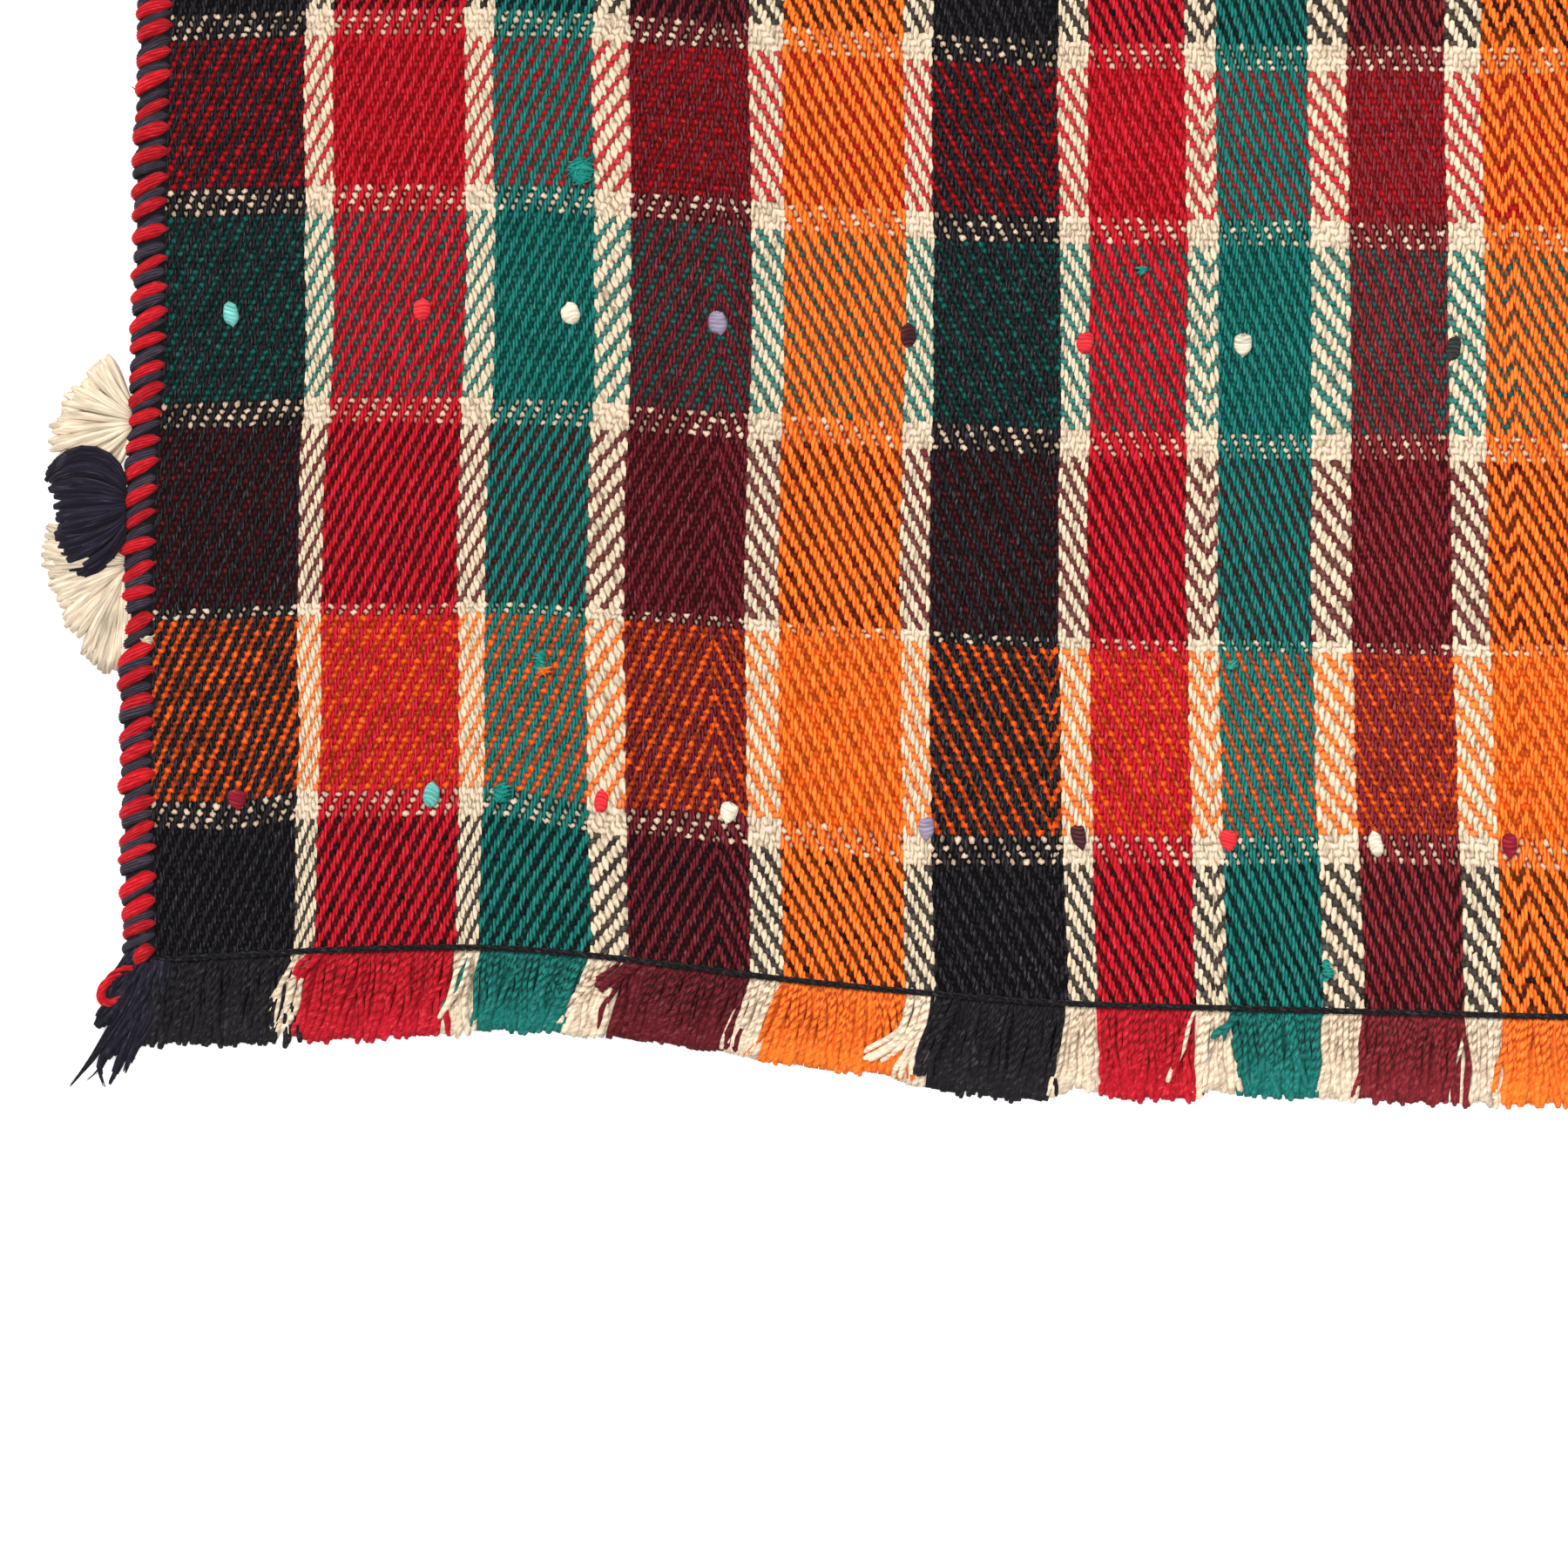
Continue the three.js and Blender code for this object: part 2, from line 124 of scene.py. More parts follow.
# The sag of a weft line, by its distance from the middle of the length
depth_place = [0, 300, 600, 800, 900, 960]
depth_value = [0, 9, 14.5, 15, 19, 25]
# How far the warp has spread to the right at the near end, and 80 mm before it
spread_place = [-733, -679, -668, -617, -605, -567, -500, -442, -382, -333, -284, -232, 100, 400, 733]
spread_end = [-0.5, -0.9, -4.3, -0.2, -3.2, 1.5, 2.4, 2.4, 5.1, 5.5, 6.8, 8, 6, 2, 0]
spread_before = [0, 2.2, -0.6, 1.7, 0.3, 1.2, 1.8, 1.6, 3, 3.5, 3.9, 5.9, 3, 1, 0]
# How far the first cream weft band is drawn towards the near end, by the place across
drawn_place = [-733, -722, -702, -682, -602, -562, -522, -482, -442, -402, -362, -322, -262, -200]
drawn_value = [1.5, 2.4, 4.4, 0.6, 0, 5, 4, 3.5, 6, 3.7, 1.7, 1.7, -1.3, 0]


def cloth_half_width(y):
    return read_table(side_place, side_half_width, np.abs(y)) - binding_width


def sag_at(x, straight_y):
    share = read_table(sag_place, sag_share, np.abs(x))
    return share * read_table(depth_place, depth_value, np.abs(straight_y)) * np.sign(straight_y)


corner_half_width = float(cloth_half_width(half_length))


def end_line(x):
    """The line on which the weaving ends, as a distance from the middle."""
    return half_length + sag_at(x, half_length)


# The threading: two cycles of warp stripes, which then repeat, and the widths of all stripes
warp_colours = ["black", "cream", "red", "cream", "green", "cream"]
warp_colours += ["maroon", "cream", "orange", "cream", *warp_colours]
warp_colours += ["light maroon", "cream", "orange", "cream"]
first_ends = [47, 8, 43, 8, 33, 8, 37, 8, 33, 8]
second_ends = [36, 8, 29, 8, 32, 8, 32, 8, 34, 8]
stripe_widths = [
    [55, 11, 50, 11.3, 38, 14.3, 45.7, 12.7, 46.3, 11],
    [48.3, 11.3, 37, 12, 35.3, 15.3, 37, 14.3, 46, 11],
    [50, 11, 46, 11.5, 40, 12, 44, 12, 44, 11],
    [49, 11, 43, 11.5, 39, 12, 45, 12, 45, 11],
    [50, 11, 46, 11.5, 40, 12, 44, 12, 44, 11],
    [54],
]
stripe_ends = (first_ends + second_ends) * 3
stripe_ends = stripe_ends[: sum(map(len, stripe_widths))]
end_edges = np.concatenate([[0], np.cumsum(stripe_ends)])
run_edges = np.concatenate([[0], np.cumsum(sum(stripe_widths, []))])
# The twill climbs to the right (-1) up to one end of the first maroon stripe, then to the
# left (1), with a few ends threaded the wrong way
turn_from = [0, 174, 266, 269, 311, 314, 383, 386, 399, 402]
turn_value = [-1, 1, -1, 1, -1, 1, -1, 1, -1, 1]

# The weft: one cycle of bands, in picks and in millimetres, and a black band at each end
weft_colours = ["black", "warm cream", "orange", "warm cream", "maroon"]
weft_colours += ["warm cream", "green", "warm cream", "red", "warm cream"]
cycle_picks = [28, 4, 27, 2, 28, 4, 29, 4, 23, 4]
cycle_heights = [69.15, 10.6, 66.7, 4.3, 68.3, 10.3, 71, 10.3, 57.3, 10.3]
weft_cycles = 5
end_picks = 20
end_height = 49.7
band_picks = [end_picks] + cycle_picks[1:] + cycle_picks * (weft_cycles - 1) + [end_picks]
band_heights = [end_height] + cycle_heights[1:] + cycle_heights * (weft_cycles - 1) + [end_height]
pick_edges = np.concatenate([[0], np.cumsum(band_picks)])
y_edges = np.concatenate([[0], np.cumsum(band_heights)])
y_edges = y_edges * 2 * half_length / y_edges[-1] - half_length


def warp_place(end, straight_y):
    """Where a warp end lies at a straight weft line: x and y in millimetres."""
    run = np.interp(end, end_edges, run_edges) / run_edges[-1]
    half_width = cloth_half_width(straight_y)
    x = half_width * (2 * run - 1)
    before = np.interp(x, spread_place, spread_before)
    at_end = np.interp(x, spread_place, spread_end)
    late = np.interp(-straight_y, [880, 960], [0, 1])
    early = np.interp(-straight_y, [715, 880], [0, 1])
    drift = np.interp(-straight_y, [300, 560, 620, 675], [0, -1.5, -2, 0])
    inner = np.clip((half_width - np.abs(x)) / 12, 0, 1)
    x = x + inner * ((1 - late) * early * before + late * at_end + drift)
    drawn = np.interp(x, drawn_place, drawn_value) * np.clip(1 - np.abs(straight_y + 905) / 55, 0, 1)
    y = straight_y + sag_at(x, straight_y) - drawn
    # The yarns wander a little from their lines, but not at the edges
    loose = inner * np.clip((half_length - np.abs(straight_y)) / 12, 0, 1)
    x_wander = np.sin(x / 9 + 2 * np.sin(y / 31)) * np.sin(y / 17 + 1.7 * np.sin(x / 23))
    y_wander = np.sin(y / 11 + 2 * np.sin(x / 37)) * np.sin(x / 19 + 1.7 * np.sin(y / 29))
    return x + 0.5 * loose * x_wander, y + 0.5 * loose * y_wander


def split_steps(edges, steps, extra=()):
    """The edges of a chart with each of its bands cut into steps, and extra places."""
    places = [np.linspace(a, b, n, endpoint=False) for a, b, n in zip(edges[:-1], edges[1:], steps)]
    return np.unique(np.concatenate([*places, [edges[-1]], extra]))


def place_between(at, edges):
    """Which band of a chart each place is in, as a number with the share of the band behind it."""
    return np.interp(at, edges, np.arange(len(edges)))


cream_ends = 8
colour_columns = 4
cream_columns = 2
row_height = 12.5
column_steps = [cream_columns if n == cream_ends else colour_columns for n in stripe_ends]
row_steps = [max(2, round(height / row_height)) for height in band_heights]
ends = split_steps(end_edges, column_steps, turn_from)
picks = split_steps(pick_edges, row_steps)

bpy.ops.mesh.primitive_grid_add(x_subdivisions=len(ends) - 1, y_subdivisions=len(picks) - 1, size=2)
cloth = bpy.context.object
cloth.name = "plaid_cloth"
grid = np.zeros(len(cloth.data.vertices) * 3)
cloth.data.vertices.foreach_get("co", grid)
grid = grid.reshape(-1, 3)
end_at = ends[np.rint((grid[:, 0] + 1) / 2 * (len(ends) - 1)).astype(int)]
pick_at = picks[np.rint((grid[:, 1] + 1) / 2 * (len(picks) - 1)).astype(int)]
x_at, y_at = warp_place(end_at, np.interp(pick_at, pick_edges, y_edges))
# The cream stripes stand a little proud, and the whole lies in very soft waves
stripe_at = place_between(end_at, end_edges)
band_at = place_between(pick_at, pick_edges)
cream_rise = 0.45
wave_height = 0.25
proud = np.maximum(1 - 2 * np.abs(stripe_at % 2 - 1.5), 0)
waves = np.sin(x_at / 47 + 1.3 * np.sin(y_at / 83)) * np.sin(y_at / 61 + 1.1 * np.sin(x_at / 70))
top = cloth_thickness + cream_rise * proud + wave_height * waves
cloth.data.vertices.foreach_set("co", (np.stack([x_at, y_at, top], axis=1) * mm).ravel())


def store(mesh, name, values, domain="POINT"):
    mesh.attributes.new(name, "FLOAT", domain).data.foreach_set("value", np.asarray(values, np.float32))


turn_ends = np.append(turn_from, end_edges[-1])
draft = np.concatenate([[0], np.cumsum(np.diff(turn_ends) * turn_value)])
store(cloth.data, "end", end_at)
store(cloth.data, "pick", pick_at)
store(cloth.data, "draft", np.interp(end_at, turn_ends, draft))
store(cloth.data, "stripe", stripe_at)
store(cloth.data, "band", band_at)
corners = np.zeros(len(cloth.data.polygons) * 4, int)
cloth.data.polygons.foreach_get("vertices", corners)
corners = corners.reshape(-1, 4)
face_stripe = stripe_at[corners].mean(axis=1).astype(int)
face_band = band_at[corners].mean(axis=1).astype(int)
face_turn = np.searchsorted(turn_from, end_at[corners].mean(axis=1)) - 1
store(cloth.data, "turn", np.array(turn_value)[face_turn], "FACE")
store(cloth.data, "stripe rate", 1 / np.array(stripe_ends)[face_stripe], "FACE")
store(cloth.data, "band rate", 1 / np.array(band_picks)[face_band], "FACE")

bpy.ops.object.select_all(action="DESELECT")
bpy.context.view_layer.objects.active = cloth
cloth.select_set(True)
thickness = cloth.modifiers.new("thickness", "SOLIDIFY")
thickness.thickness = cloth_thickness * mm
thickness.offset = -1
bpy.ops.object.modifier_apply(modifier=thickness.name)
points = np.zeros(len(cloth.data.vertices) * 3)
cloth.data.vertices.foreach_get("co", points)
points = points.reshape(-1, 3)
points[points[:, 2] < cloth_thickness / 2 * mm, 2] = 0
cloth.data.vertices.foreach_set("co", points.ravel())
bpy.ops.object.shade_smooth_by_angle(angle=math.radians(40))

yarn_colours = {
    "black": (32, 28, 33),
    "cream": (224, 204, 175),
    "red": (196, 22, 42),
    "green": (22, 116, 108),
    "maroon": (104, 24, 34),
    "light maroon": (130, 34, 42),
    "orange": (255, 126, 40),
    "warm cream": (232, 208, 184),
}


def linear(colour):
    """The linear colour of one given in the usual 0 to 255 values."""
    part = np.array(colour) / 255
    return tuple(np.where(part <= 0.04045, part / 12.92, ((part + 0.055) / 1.055) ** 2.4)) + (1.0,)


class Wiring:
    """Adds nodes to a node tree. What feeds a node is given as sockets or as plain values."""

    def __init__(self, tree):
        self.tree = tree
        self.link = tree.links.new

    def node(self, kind, values=(), **settings):
        made = self.tree.nodes.new(kind)
        for name, value in settings.items():
            setattr(made, name, value)
        for name, value in dict(values).items():
            if isinstance(value, bpy.types.NodeSocket):
                self.link(value, made.inputs[name])
            else:
                made.inputs[name].default_value = value
        return made

    def calc(self, operation, *values):
        return self.node("ShaderNodeMath", enumerate(values), operation=operation).outputs[0]

    def times(self, *values):
        """One value times another, plus a third where three are given."""
        return self.calc("MULTIPLY" if len(values) == 2 else "MULTIPLY_ADD", *values)

    def vector_calc(self, operation, *vectors):
        return self.node("ShaderNodeVectorMath", enumerate(vectors), operation=operation).outputs[0]

    def mix(self, share, a, b, way="MIX"):
        values = {0: share, 6: a, 7: b}
        return self.node("ShaderNodeMix", values, data_type="RGBA", blend_type=way).outputs[2]

    def choose(self, share, a, b):
        return self.node("ShaderNodeMix", {0: share, 2: a, 3: b}).outputs[0]

    def vector(self, x, y, z=0):
        return self.node("ShaderNodeCombineXYZ", enumerate((x, y, z))).outputs[0]

    def grey(self, value):
        return self.node("ShaderNodeCombineColor", {0: value, 1: value, 2: value}).outputs[0]

    def chance(self, x, y, z=0):
        return self.node("ShaderNodeTexWhiteNoise", {"Vector": self.vector(x, y, z)}).outputs["Value"]

    def noise(self, x, y, detail=0):
        values = {"Vector": self.vector(x, y), "Scale": 1, "Detail": detail}
        return self.node("ShaderNodeTexNoise", values, noise_dimensions="2D").outputs

    def attribute(self, name):
        return self.node("ShaderNodeAttribute", attribute_name=name).outputs["Fac"]

    def place(self, tree, values):
        return self.node("ShaderNodeGroup", values, node_tree=tree).outputs

    def chart(self, index, colours):
        """The colour that a repeating list of yarns has at a number."""
        count = len(colours)
        place = self.calc("MODULO", self.calc("FLOOR", index), count)
        share = self.calc("DIVIDE", self.calc("ADD", place, 0.5), count)
        made = self.node("ShaderNodeValToRGB", {0: share})
        made.color_ramp.interpolation = "CONSTANT"
        stops = made.color_ramp.elements
        stops.remove(stops[1])
        for n, name in enumerate(colours):
            stop = stops[0] if n == 0 else stops.new(n / count)
            stop.color = linear(yarn_colours[name])
        return made.outputs["Color"]


def shader_group(name, inputs, outputs):
    """A new shader node group with these sockets: its tree, wiring, inputs and outputs."""
    kinds = {"value": "NodeSocketFloat", "colour": "NodeSocketColor", "vector": "NodeSocketVector"}
    tree = bpy.data.node_groups.new(name, "ShaderNodeTree")
    for socket, kind in inputs.items():
        tree.interface.new_socket(socket, in_out="INPUT", socket_type=kinds[kind])
    for socket, kind in outputs.items():
        tree.interface.new_socket(socket, in_out="OUTPUT", socket_type=kinds[kind])
    given = tree.nodes.new("NodeGroupInput").outputs
    result = tree.nodes.new("NodeGroupOutput").inputs
    return tree, Wiring(tree), given, result


# The weave at a point: the warp end and the pick that cross there, of which the higher shows.
# The floats lean because the ends shift sideways with their place on the twill line.
chart_inputs = ["End", "Pick", "Draft", "Turn", "Stripe", "Band", "Stripe rate", "Band rate"]
twill_group, wires, given, result = shader_group(
    "wool twill", {name: "value" for name in chart_inputs}, {"Colour": "colour", "Normal": "vector"}
)
calc, times = wires.calc, wires.times
turn, rate, band_rate = given["Turn"], given["Stripe rate"], given["Band rate"]
ragged = wires.noise(times(given["End"], 0.8), times(given["Pick"], 0.8), 1)[1]
ragged = wires.node("ShaderNodeSeparateColor", {0: ragged}).outputs
cream_warp = calc("FLOOR", calc("MODULO", given["Stripe"], 2))
# A float is two picks long. Its middle lies where the pick and the draft add up to this
float_middle = times(turn, 0.5, 1)
line_place = calc("SUBTRACT", calc("ADD", given["Pick"], given["Draft"]), float_middle)
sway = calc("SINE", times(line_place, math.pi / 2))
steep = times(turn, 0.3, -0.25)
lean = times(cream_warp, steep, 0.12)
shift = times(ragged[0], 0.9, times(sway, times(lean, -0.64), -0.45))
end = calc("ADD", given["End"], shift)
draft = times(shift, turn, given["Draft"])
stripe = times(shift, rate, given["Stripe"])
lift = times(ragged[1], 0.8, -0.4)
pick = calc("ADD", given["Pick"], lift)
band = times(lift, band_rate, given["Band"])

column = calc("FLOOR", end)
across = calc("SUBTRACT", calc("SUBTRACT", end, column), 0.5)
own_stripe = calc("SUBTRACT", stripe, times(across, rate))
thick = calc("FLOOR", calc("MODULO", own_stripe, 2))
along = calc("SUBTRACT", calc("ADD", pick, draft), times(across, turn, float_middle))
from_middle = calc("WRAP", along, 2, -2)
warp_chance = wires.chance(column, calc("FLOOR", calc("DIVIDE", calc("ADD", along, 2), 4)))
wide = calc("DIVIDE", across, 0.5)
long = calc("DIVIDE", from_middle, times(warp_chance, 0.3, 1.05))
long_square = times(long, long)
round_off = times(times(wide, wide), times(long_square, 0.35, 0.62))
warp_height = calc("SUBTRACT", 1, times(long_square, times(long_square, 0.6), round_off))
warp_colour = wires.chart(own_stripe, warp_colours)

row = calc("FLOOR", pick)
above = calc("SUBTRACT", calc("SUBTRACT", pick, row), 0.5)
crossing = calc("ADD", calc("ADD", row, draft), times(turn, -0.5, 1.5))
weft_across = calc("WRAP", crossing, 2, -2)
weft_chance = wires.chance(calc("FLOOR", calc("DIVIDE", calc("ADD", crossing, 2), 4)), row, 7)
own_band = calc("SUBTRACT", band, times(above, band_rate))
weft_colour = wires.chart(own_band, weft_colours)
weft_thick = calc("FLOOR", calc("MODULO", own_band, 2))
flat = calc("DIVIDE", above, 0.5)
half = times(weft_chance, 0.4, times(thick, 0.6, 0.54))
half = times(weft_thick, times(weft_chance, 0.1, -0.06), half)
weft_wide = calc("DIVIDE", weft_across, half)
# The cream weft shows between coloured ends as single beads, on the shaded sides of the ends
beaded = times(weft_thick, calc("SUBTRACT", 1, thick))
warp_height = calc("MAXIMUM", warp_height, times(beaded, 3.15, -3))
narrow = times(beaded, 0.5, 1)
weft_square = times(weft_wide, weft_wide, times(times(flat, flat), narrow))
weft_crest = times(weft_thick, times(weft_chance, 0.25, -0.1), times(thick, 0.3, 0.68))
weft_height = calc("SUBTRACT", weft_crest, times(weft_square, 0.6))

warp_shows = calc("GREATER_THAN", warp_height, weft_height)
colour = wires.mix(warp_shows, weft_colour, warp_colour)
chance = wires.choose(warp_shows, weft_chance, warp_chance)
height = calc("MAXIMUM", warp_height, weft_height)
tilt_x = wires.choose(warp_shows, times(times(weft_across, turn), 0.5), times(wide, 0.6))
tilt_y = wires.choose(warp_shows, times(flat, 0.6), times(times(long_square, long), 0.55))
fibres = wires.noise(times(end, 2.6), times(pick, 0.8), 2)[0]
depth = wires.node(
    "ShaderNodeMapRange", {0: height, 1: 0.15, 2: 0.95, 3: 0.0, 4: 1.0}, interpolation_type="SMOOTHSTEP"
).outputs[0]
sunk = calc("SUBTRACT", 1, depth)
# Light that reaches the gaps has bounced between the yarns, so their colour there is deeper
colour = wires.node("ShaderNodeGamma", {0: colour, 1: times(sunk, 0.6, 0.97)}).outputs[0]
tone = times(chance, 0.4, times(fibres, 1.7, 0.05))
# Painted shade: the yarn is darker where it lies low, in the gaps between floats and beads
tone = times(calc("MINIMUM", tone, 1.14), times(depth, 0.5, 0.55))
# Between coloured ends the weft lies deep: it is in shade, and fibres of the warp dull it
seen = calc("MAXIMUM", thick, warp_shows)
shaded_and_dulled = times(calc("SUBTRACT", 1, seen), times(weft_chance, -0.75, 0.75))
behind = calc("SUBTRACT", 1, warp_shows)
fuzz = times(times(behind, thick), times(weft_chance, -0.07, 0.09))
colour = wires.mix(times(shaded_and_dulled, 0.42, fuzz), colour, warp_colour)
tone = times(tone, times(shaded_and_dulled, -0.5, 1))
colour = wires.mix(1.0, colour, wires.grey(tone), "MULTIPLY")
# Painted highlight: pale grey glints on the fibres near the crests of the yarns
glint = times(calc("MAXIMUM", times(fibres, 3, -1.65), 0), depth)
colour = wires.mix(times(glint, 0.2), colour, (0.55, 0.54, 0.54, 1))
wires.link(colour, result["Colour"])
tilt = wires.node(
    "ShaderNodeVectorTransform", {0: wires.vector(tilt_x, tilt_y)}, convert_from="OBJECT", convert_to="WORLD"
).outputs[0]
face_normal = wires.node("ShaderNodeNewGeometry").outputs["Normal"]
leaning = wires.vector_calc("NORMALIZE", wires.vector_calc("ADD", face_normal, tilt))
wires.link(leaning, result["Normal"])



def wool_material(name, roughness, shine, sheen):
    """A new material for wool: the material, its wiring and its surface's inputs."""
    made = bpy.data.materials.new(name)
    made.use_nodes = True
    surface = made.node_tree.nodes["Principled BSDF"].inputs
    surface["Roughness"].default_value = roughness
    surface["Specular IOR Level"].default_value = shine
    surface["Sheen Weight"].default_value = sheen
    surface["Sheen Roughness"].default_value = 0.5
    return made, Wiring(made.node_tree), surface


wool_cloth, wires, surface = wool_material("plaid wool twill", 0.9, 0.1, 0.04)
twill = wires.place(twill_group, {name: wires.attribute(name.lower()) for name in chart_inputs})
wires.link(twill["Colour"], surface["Base Color"])
wires.link(twill["Normal"], surface["Normal"])
cloth.data.materials.append(wool_cloth)
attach(cloth, "root")
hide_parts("cloth")

# The overcast sides: each long edge is wrapped with turns of wool, red and dark slate by
# turns, each turn a flat bundle of five yarns drawn slantwise over the edge of the cloth.
rng = np.random.default_rng(7)
yarn_colours.update(
    {
        "binding red": (205, 24, 38),
        "slate": (62, 54, 67),
        "tassel cream": (232, 213, 186),
        "pale cream": (240, 217, 190),
        "navy": (30, 25, 41),
        "dark red": (150, 22, 48),
        "turquoise": (120, 205, 195),
        "bright red": (235, 50, 60),
        "white": (240, 228, 205),
        "lilac": (162, 150, 174),
        "brown": (70, 30, 35),
        "dark grey": (50, 52, 52),
        "light teal": (60, 160, 140),
        "hair": (190, 170, 145),
        "trail navy": (34, 31, 44),
        "teal": (26, 152, 138),
    }
)
binding_section = [(-1.8, 2.2), (0.2, 3.4), (2.4, 4.1), (5.4, 4.5), (8.2, 4.1), (10.2, 3.0)]
binding_section += [(11.2, 1.6), (10.4, 0.3), (7.6, 0.0), (4.4, 0.0), (1.2, 0.0), (-1.0, 1.0)]
core_section = [(-1.5, 0.3), (-1.5, 2.6), (2, 3.3), (6, 3.6), (9, 2.6), (9.8, 1.4), (9, 0.3)]
core_stations = 60
wrap_step = 4.93
wrap_yarns = 5
wrap_columns = 2 * wrap_yarns + 1
wrap_slant = 5.2
red_bulge = 1.5
slate_bulge = 0.9
yarn_bulge = 0.3
core_depth = 0.75
turn_widths = (0.44, 0.68)
red_width = 1.12
last_turn = 0.62
corner_y = half_length + float(sag_at(corner_half_width, half_length))


def for_each_point(values, points):
    """Values for all the points, in one row, from fewer that stand for rings, tubes or all."""
    return np.broadcast_to(values, points.shape[:-1]).ravel()


def joined_mesh(name, points, faces, attributes, material):
    """One object from arrays: points in millimetres, faces as rows of point numbers."""
    mesh = bpy.data.meshes.new(name)
    rows = [row for part in faces for row in part.tolist()]
    mesh.from_pydata((points.reshape(-1, 3) * mm).tolist(), [], rows)
    for attribute, values in attributes.items():
        store(mesh, attribute, for_each_point(values, points))
    made = bpy.data.objects.new(name, mesh)
    bpy.context.collection.objects.link(made)
    mesh.materials.append(material)
    mesh.polygons.foreach_set("use_smooth", np.ones(len(mesh.polygons), bool))
    mesh.update()
    return made


def tube_faces(count, rings, sides):
    """Quads between the rings of many tubes, whose rings are closed and have sides points."""
    start = np.arange(rings - 1)[:, None] * sides
    side = np.arange(sides)[None]
    beside = (side + 1) % sides
    one = np.stack([start + side, start + beside, start + sides + beside, start + sides + side], -1)
    return (one.reshape(1, -1, 4) + np.arange(count)[:, None, None] * rings * sides).reshape(-1, 4)


def end_caps(count, rings, sides):
    """The faces that close the two ends of many tubes."""
    start = np.arange(count)[:, None] * rings * sides
    side = np.arange(sides)[None]
    return [(start + side)[:, ::-1], start + (rings - 1) * sides + side]


wool_inputs = ["Along", "Around", "Twist", "Tint", "Shade", "Loose"]
wool_group, wires, given, result = shader_group(
    "spun wool",
    {"Colour": "colour", **{name: "value" for name in wool_inputs}},
    {"Colour": "colour", "Height": "value"},
)
calc, times = wires.calc, wires.times
turn_place = times(given["Along"], given["Twist"], given["Around"])
crest = calc("ABSOLUTE", calc("SINE", times(turn_place, math.pi)))
# Where the plies come loose, their grooves close up
crest = wires.choose(given["Loose"], crest, 0.8)
# Painted shade: the colour is deeper and darker in the grooves between the plies and where the shade
# attribute marks a yarn's underside and flanks
sunk = calc("MAXIMUM", calc("POWER", calc("SUBTRACT", 1, crest), 2), given["Shade"])
place = wires.vector(times(turn_place, 2.6), times(given["Along"], 0.3), times(given["Tint"], 40))
fibres = wires.node("ShaderNodeTexNoise", {"Vector": place, "Scale": 1, "Detail": 2}).outputs[0]
colour = wires.node("ShaderNodeGamma", {0: given["Colour"], 1: times(sunk, 0.8, 0.95)}).outputs[0]
tone = times(given["Tint"], 0.35, times(fibres, 1.8, -0.06))
tone = times(tone, times(sunk, -0.6, 1))
colour = wires.mix(1.0, colour, wires.grey(tone), "MULTIPLY")
# Painted highlight: pale grey glints on the fibres
glint = calc("MAXIMUM", times(fibres, 3, -1.65), 0)
wires.link(wires.mix(times(glint, 0.1), colour, (0.6, 0.58, 0.57, 1)), result["Colour"])
wires.link(times(fibres, 0.6, crest), result["Height"])


def spun_wool(name, colours, twist, relief_depth=0.35):
    """A wool material. Its yarn is coloured by the number in the attribute yarn."""
    made, wires, surface = wool_material(name, 0.85, 0.15, 0.08)
    base = linear(yarn_colours[colours[0]])
    if len(colours) > 1:
        base = wires.chart(wires.attribute("yarn"), colours)
    values = {n.title(): wires.attribute(n) for n in ("along", "around", "tint", "shade", "loose")}
    spun = wires.place(wool_group, {**values, "Colour": base, "Twist": twist})
    wires.link(spun["Colour"], surface["Base Color"])
    relief = wires.node("ShaderNodeBump", {"Height": spun["Height"], "Distance": relief_depth * mm})
    wires.link(relief.outputs[0], surface["Normal"])
    return made


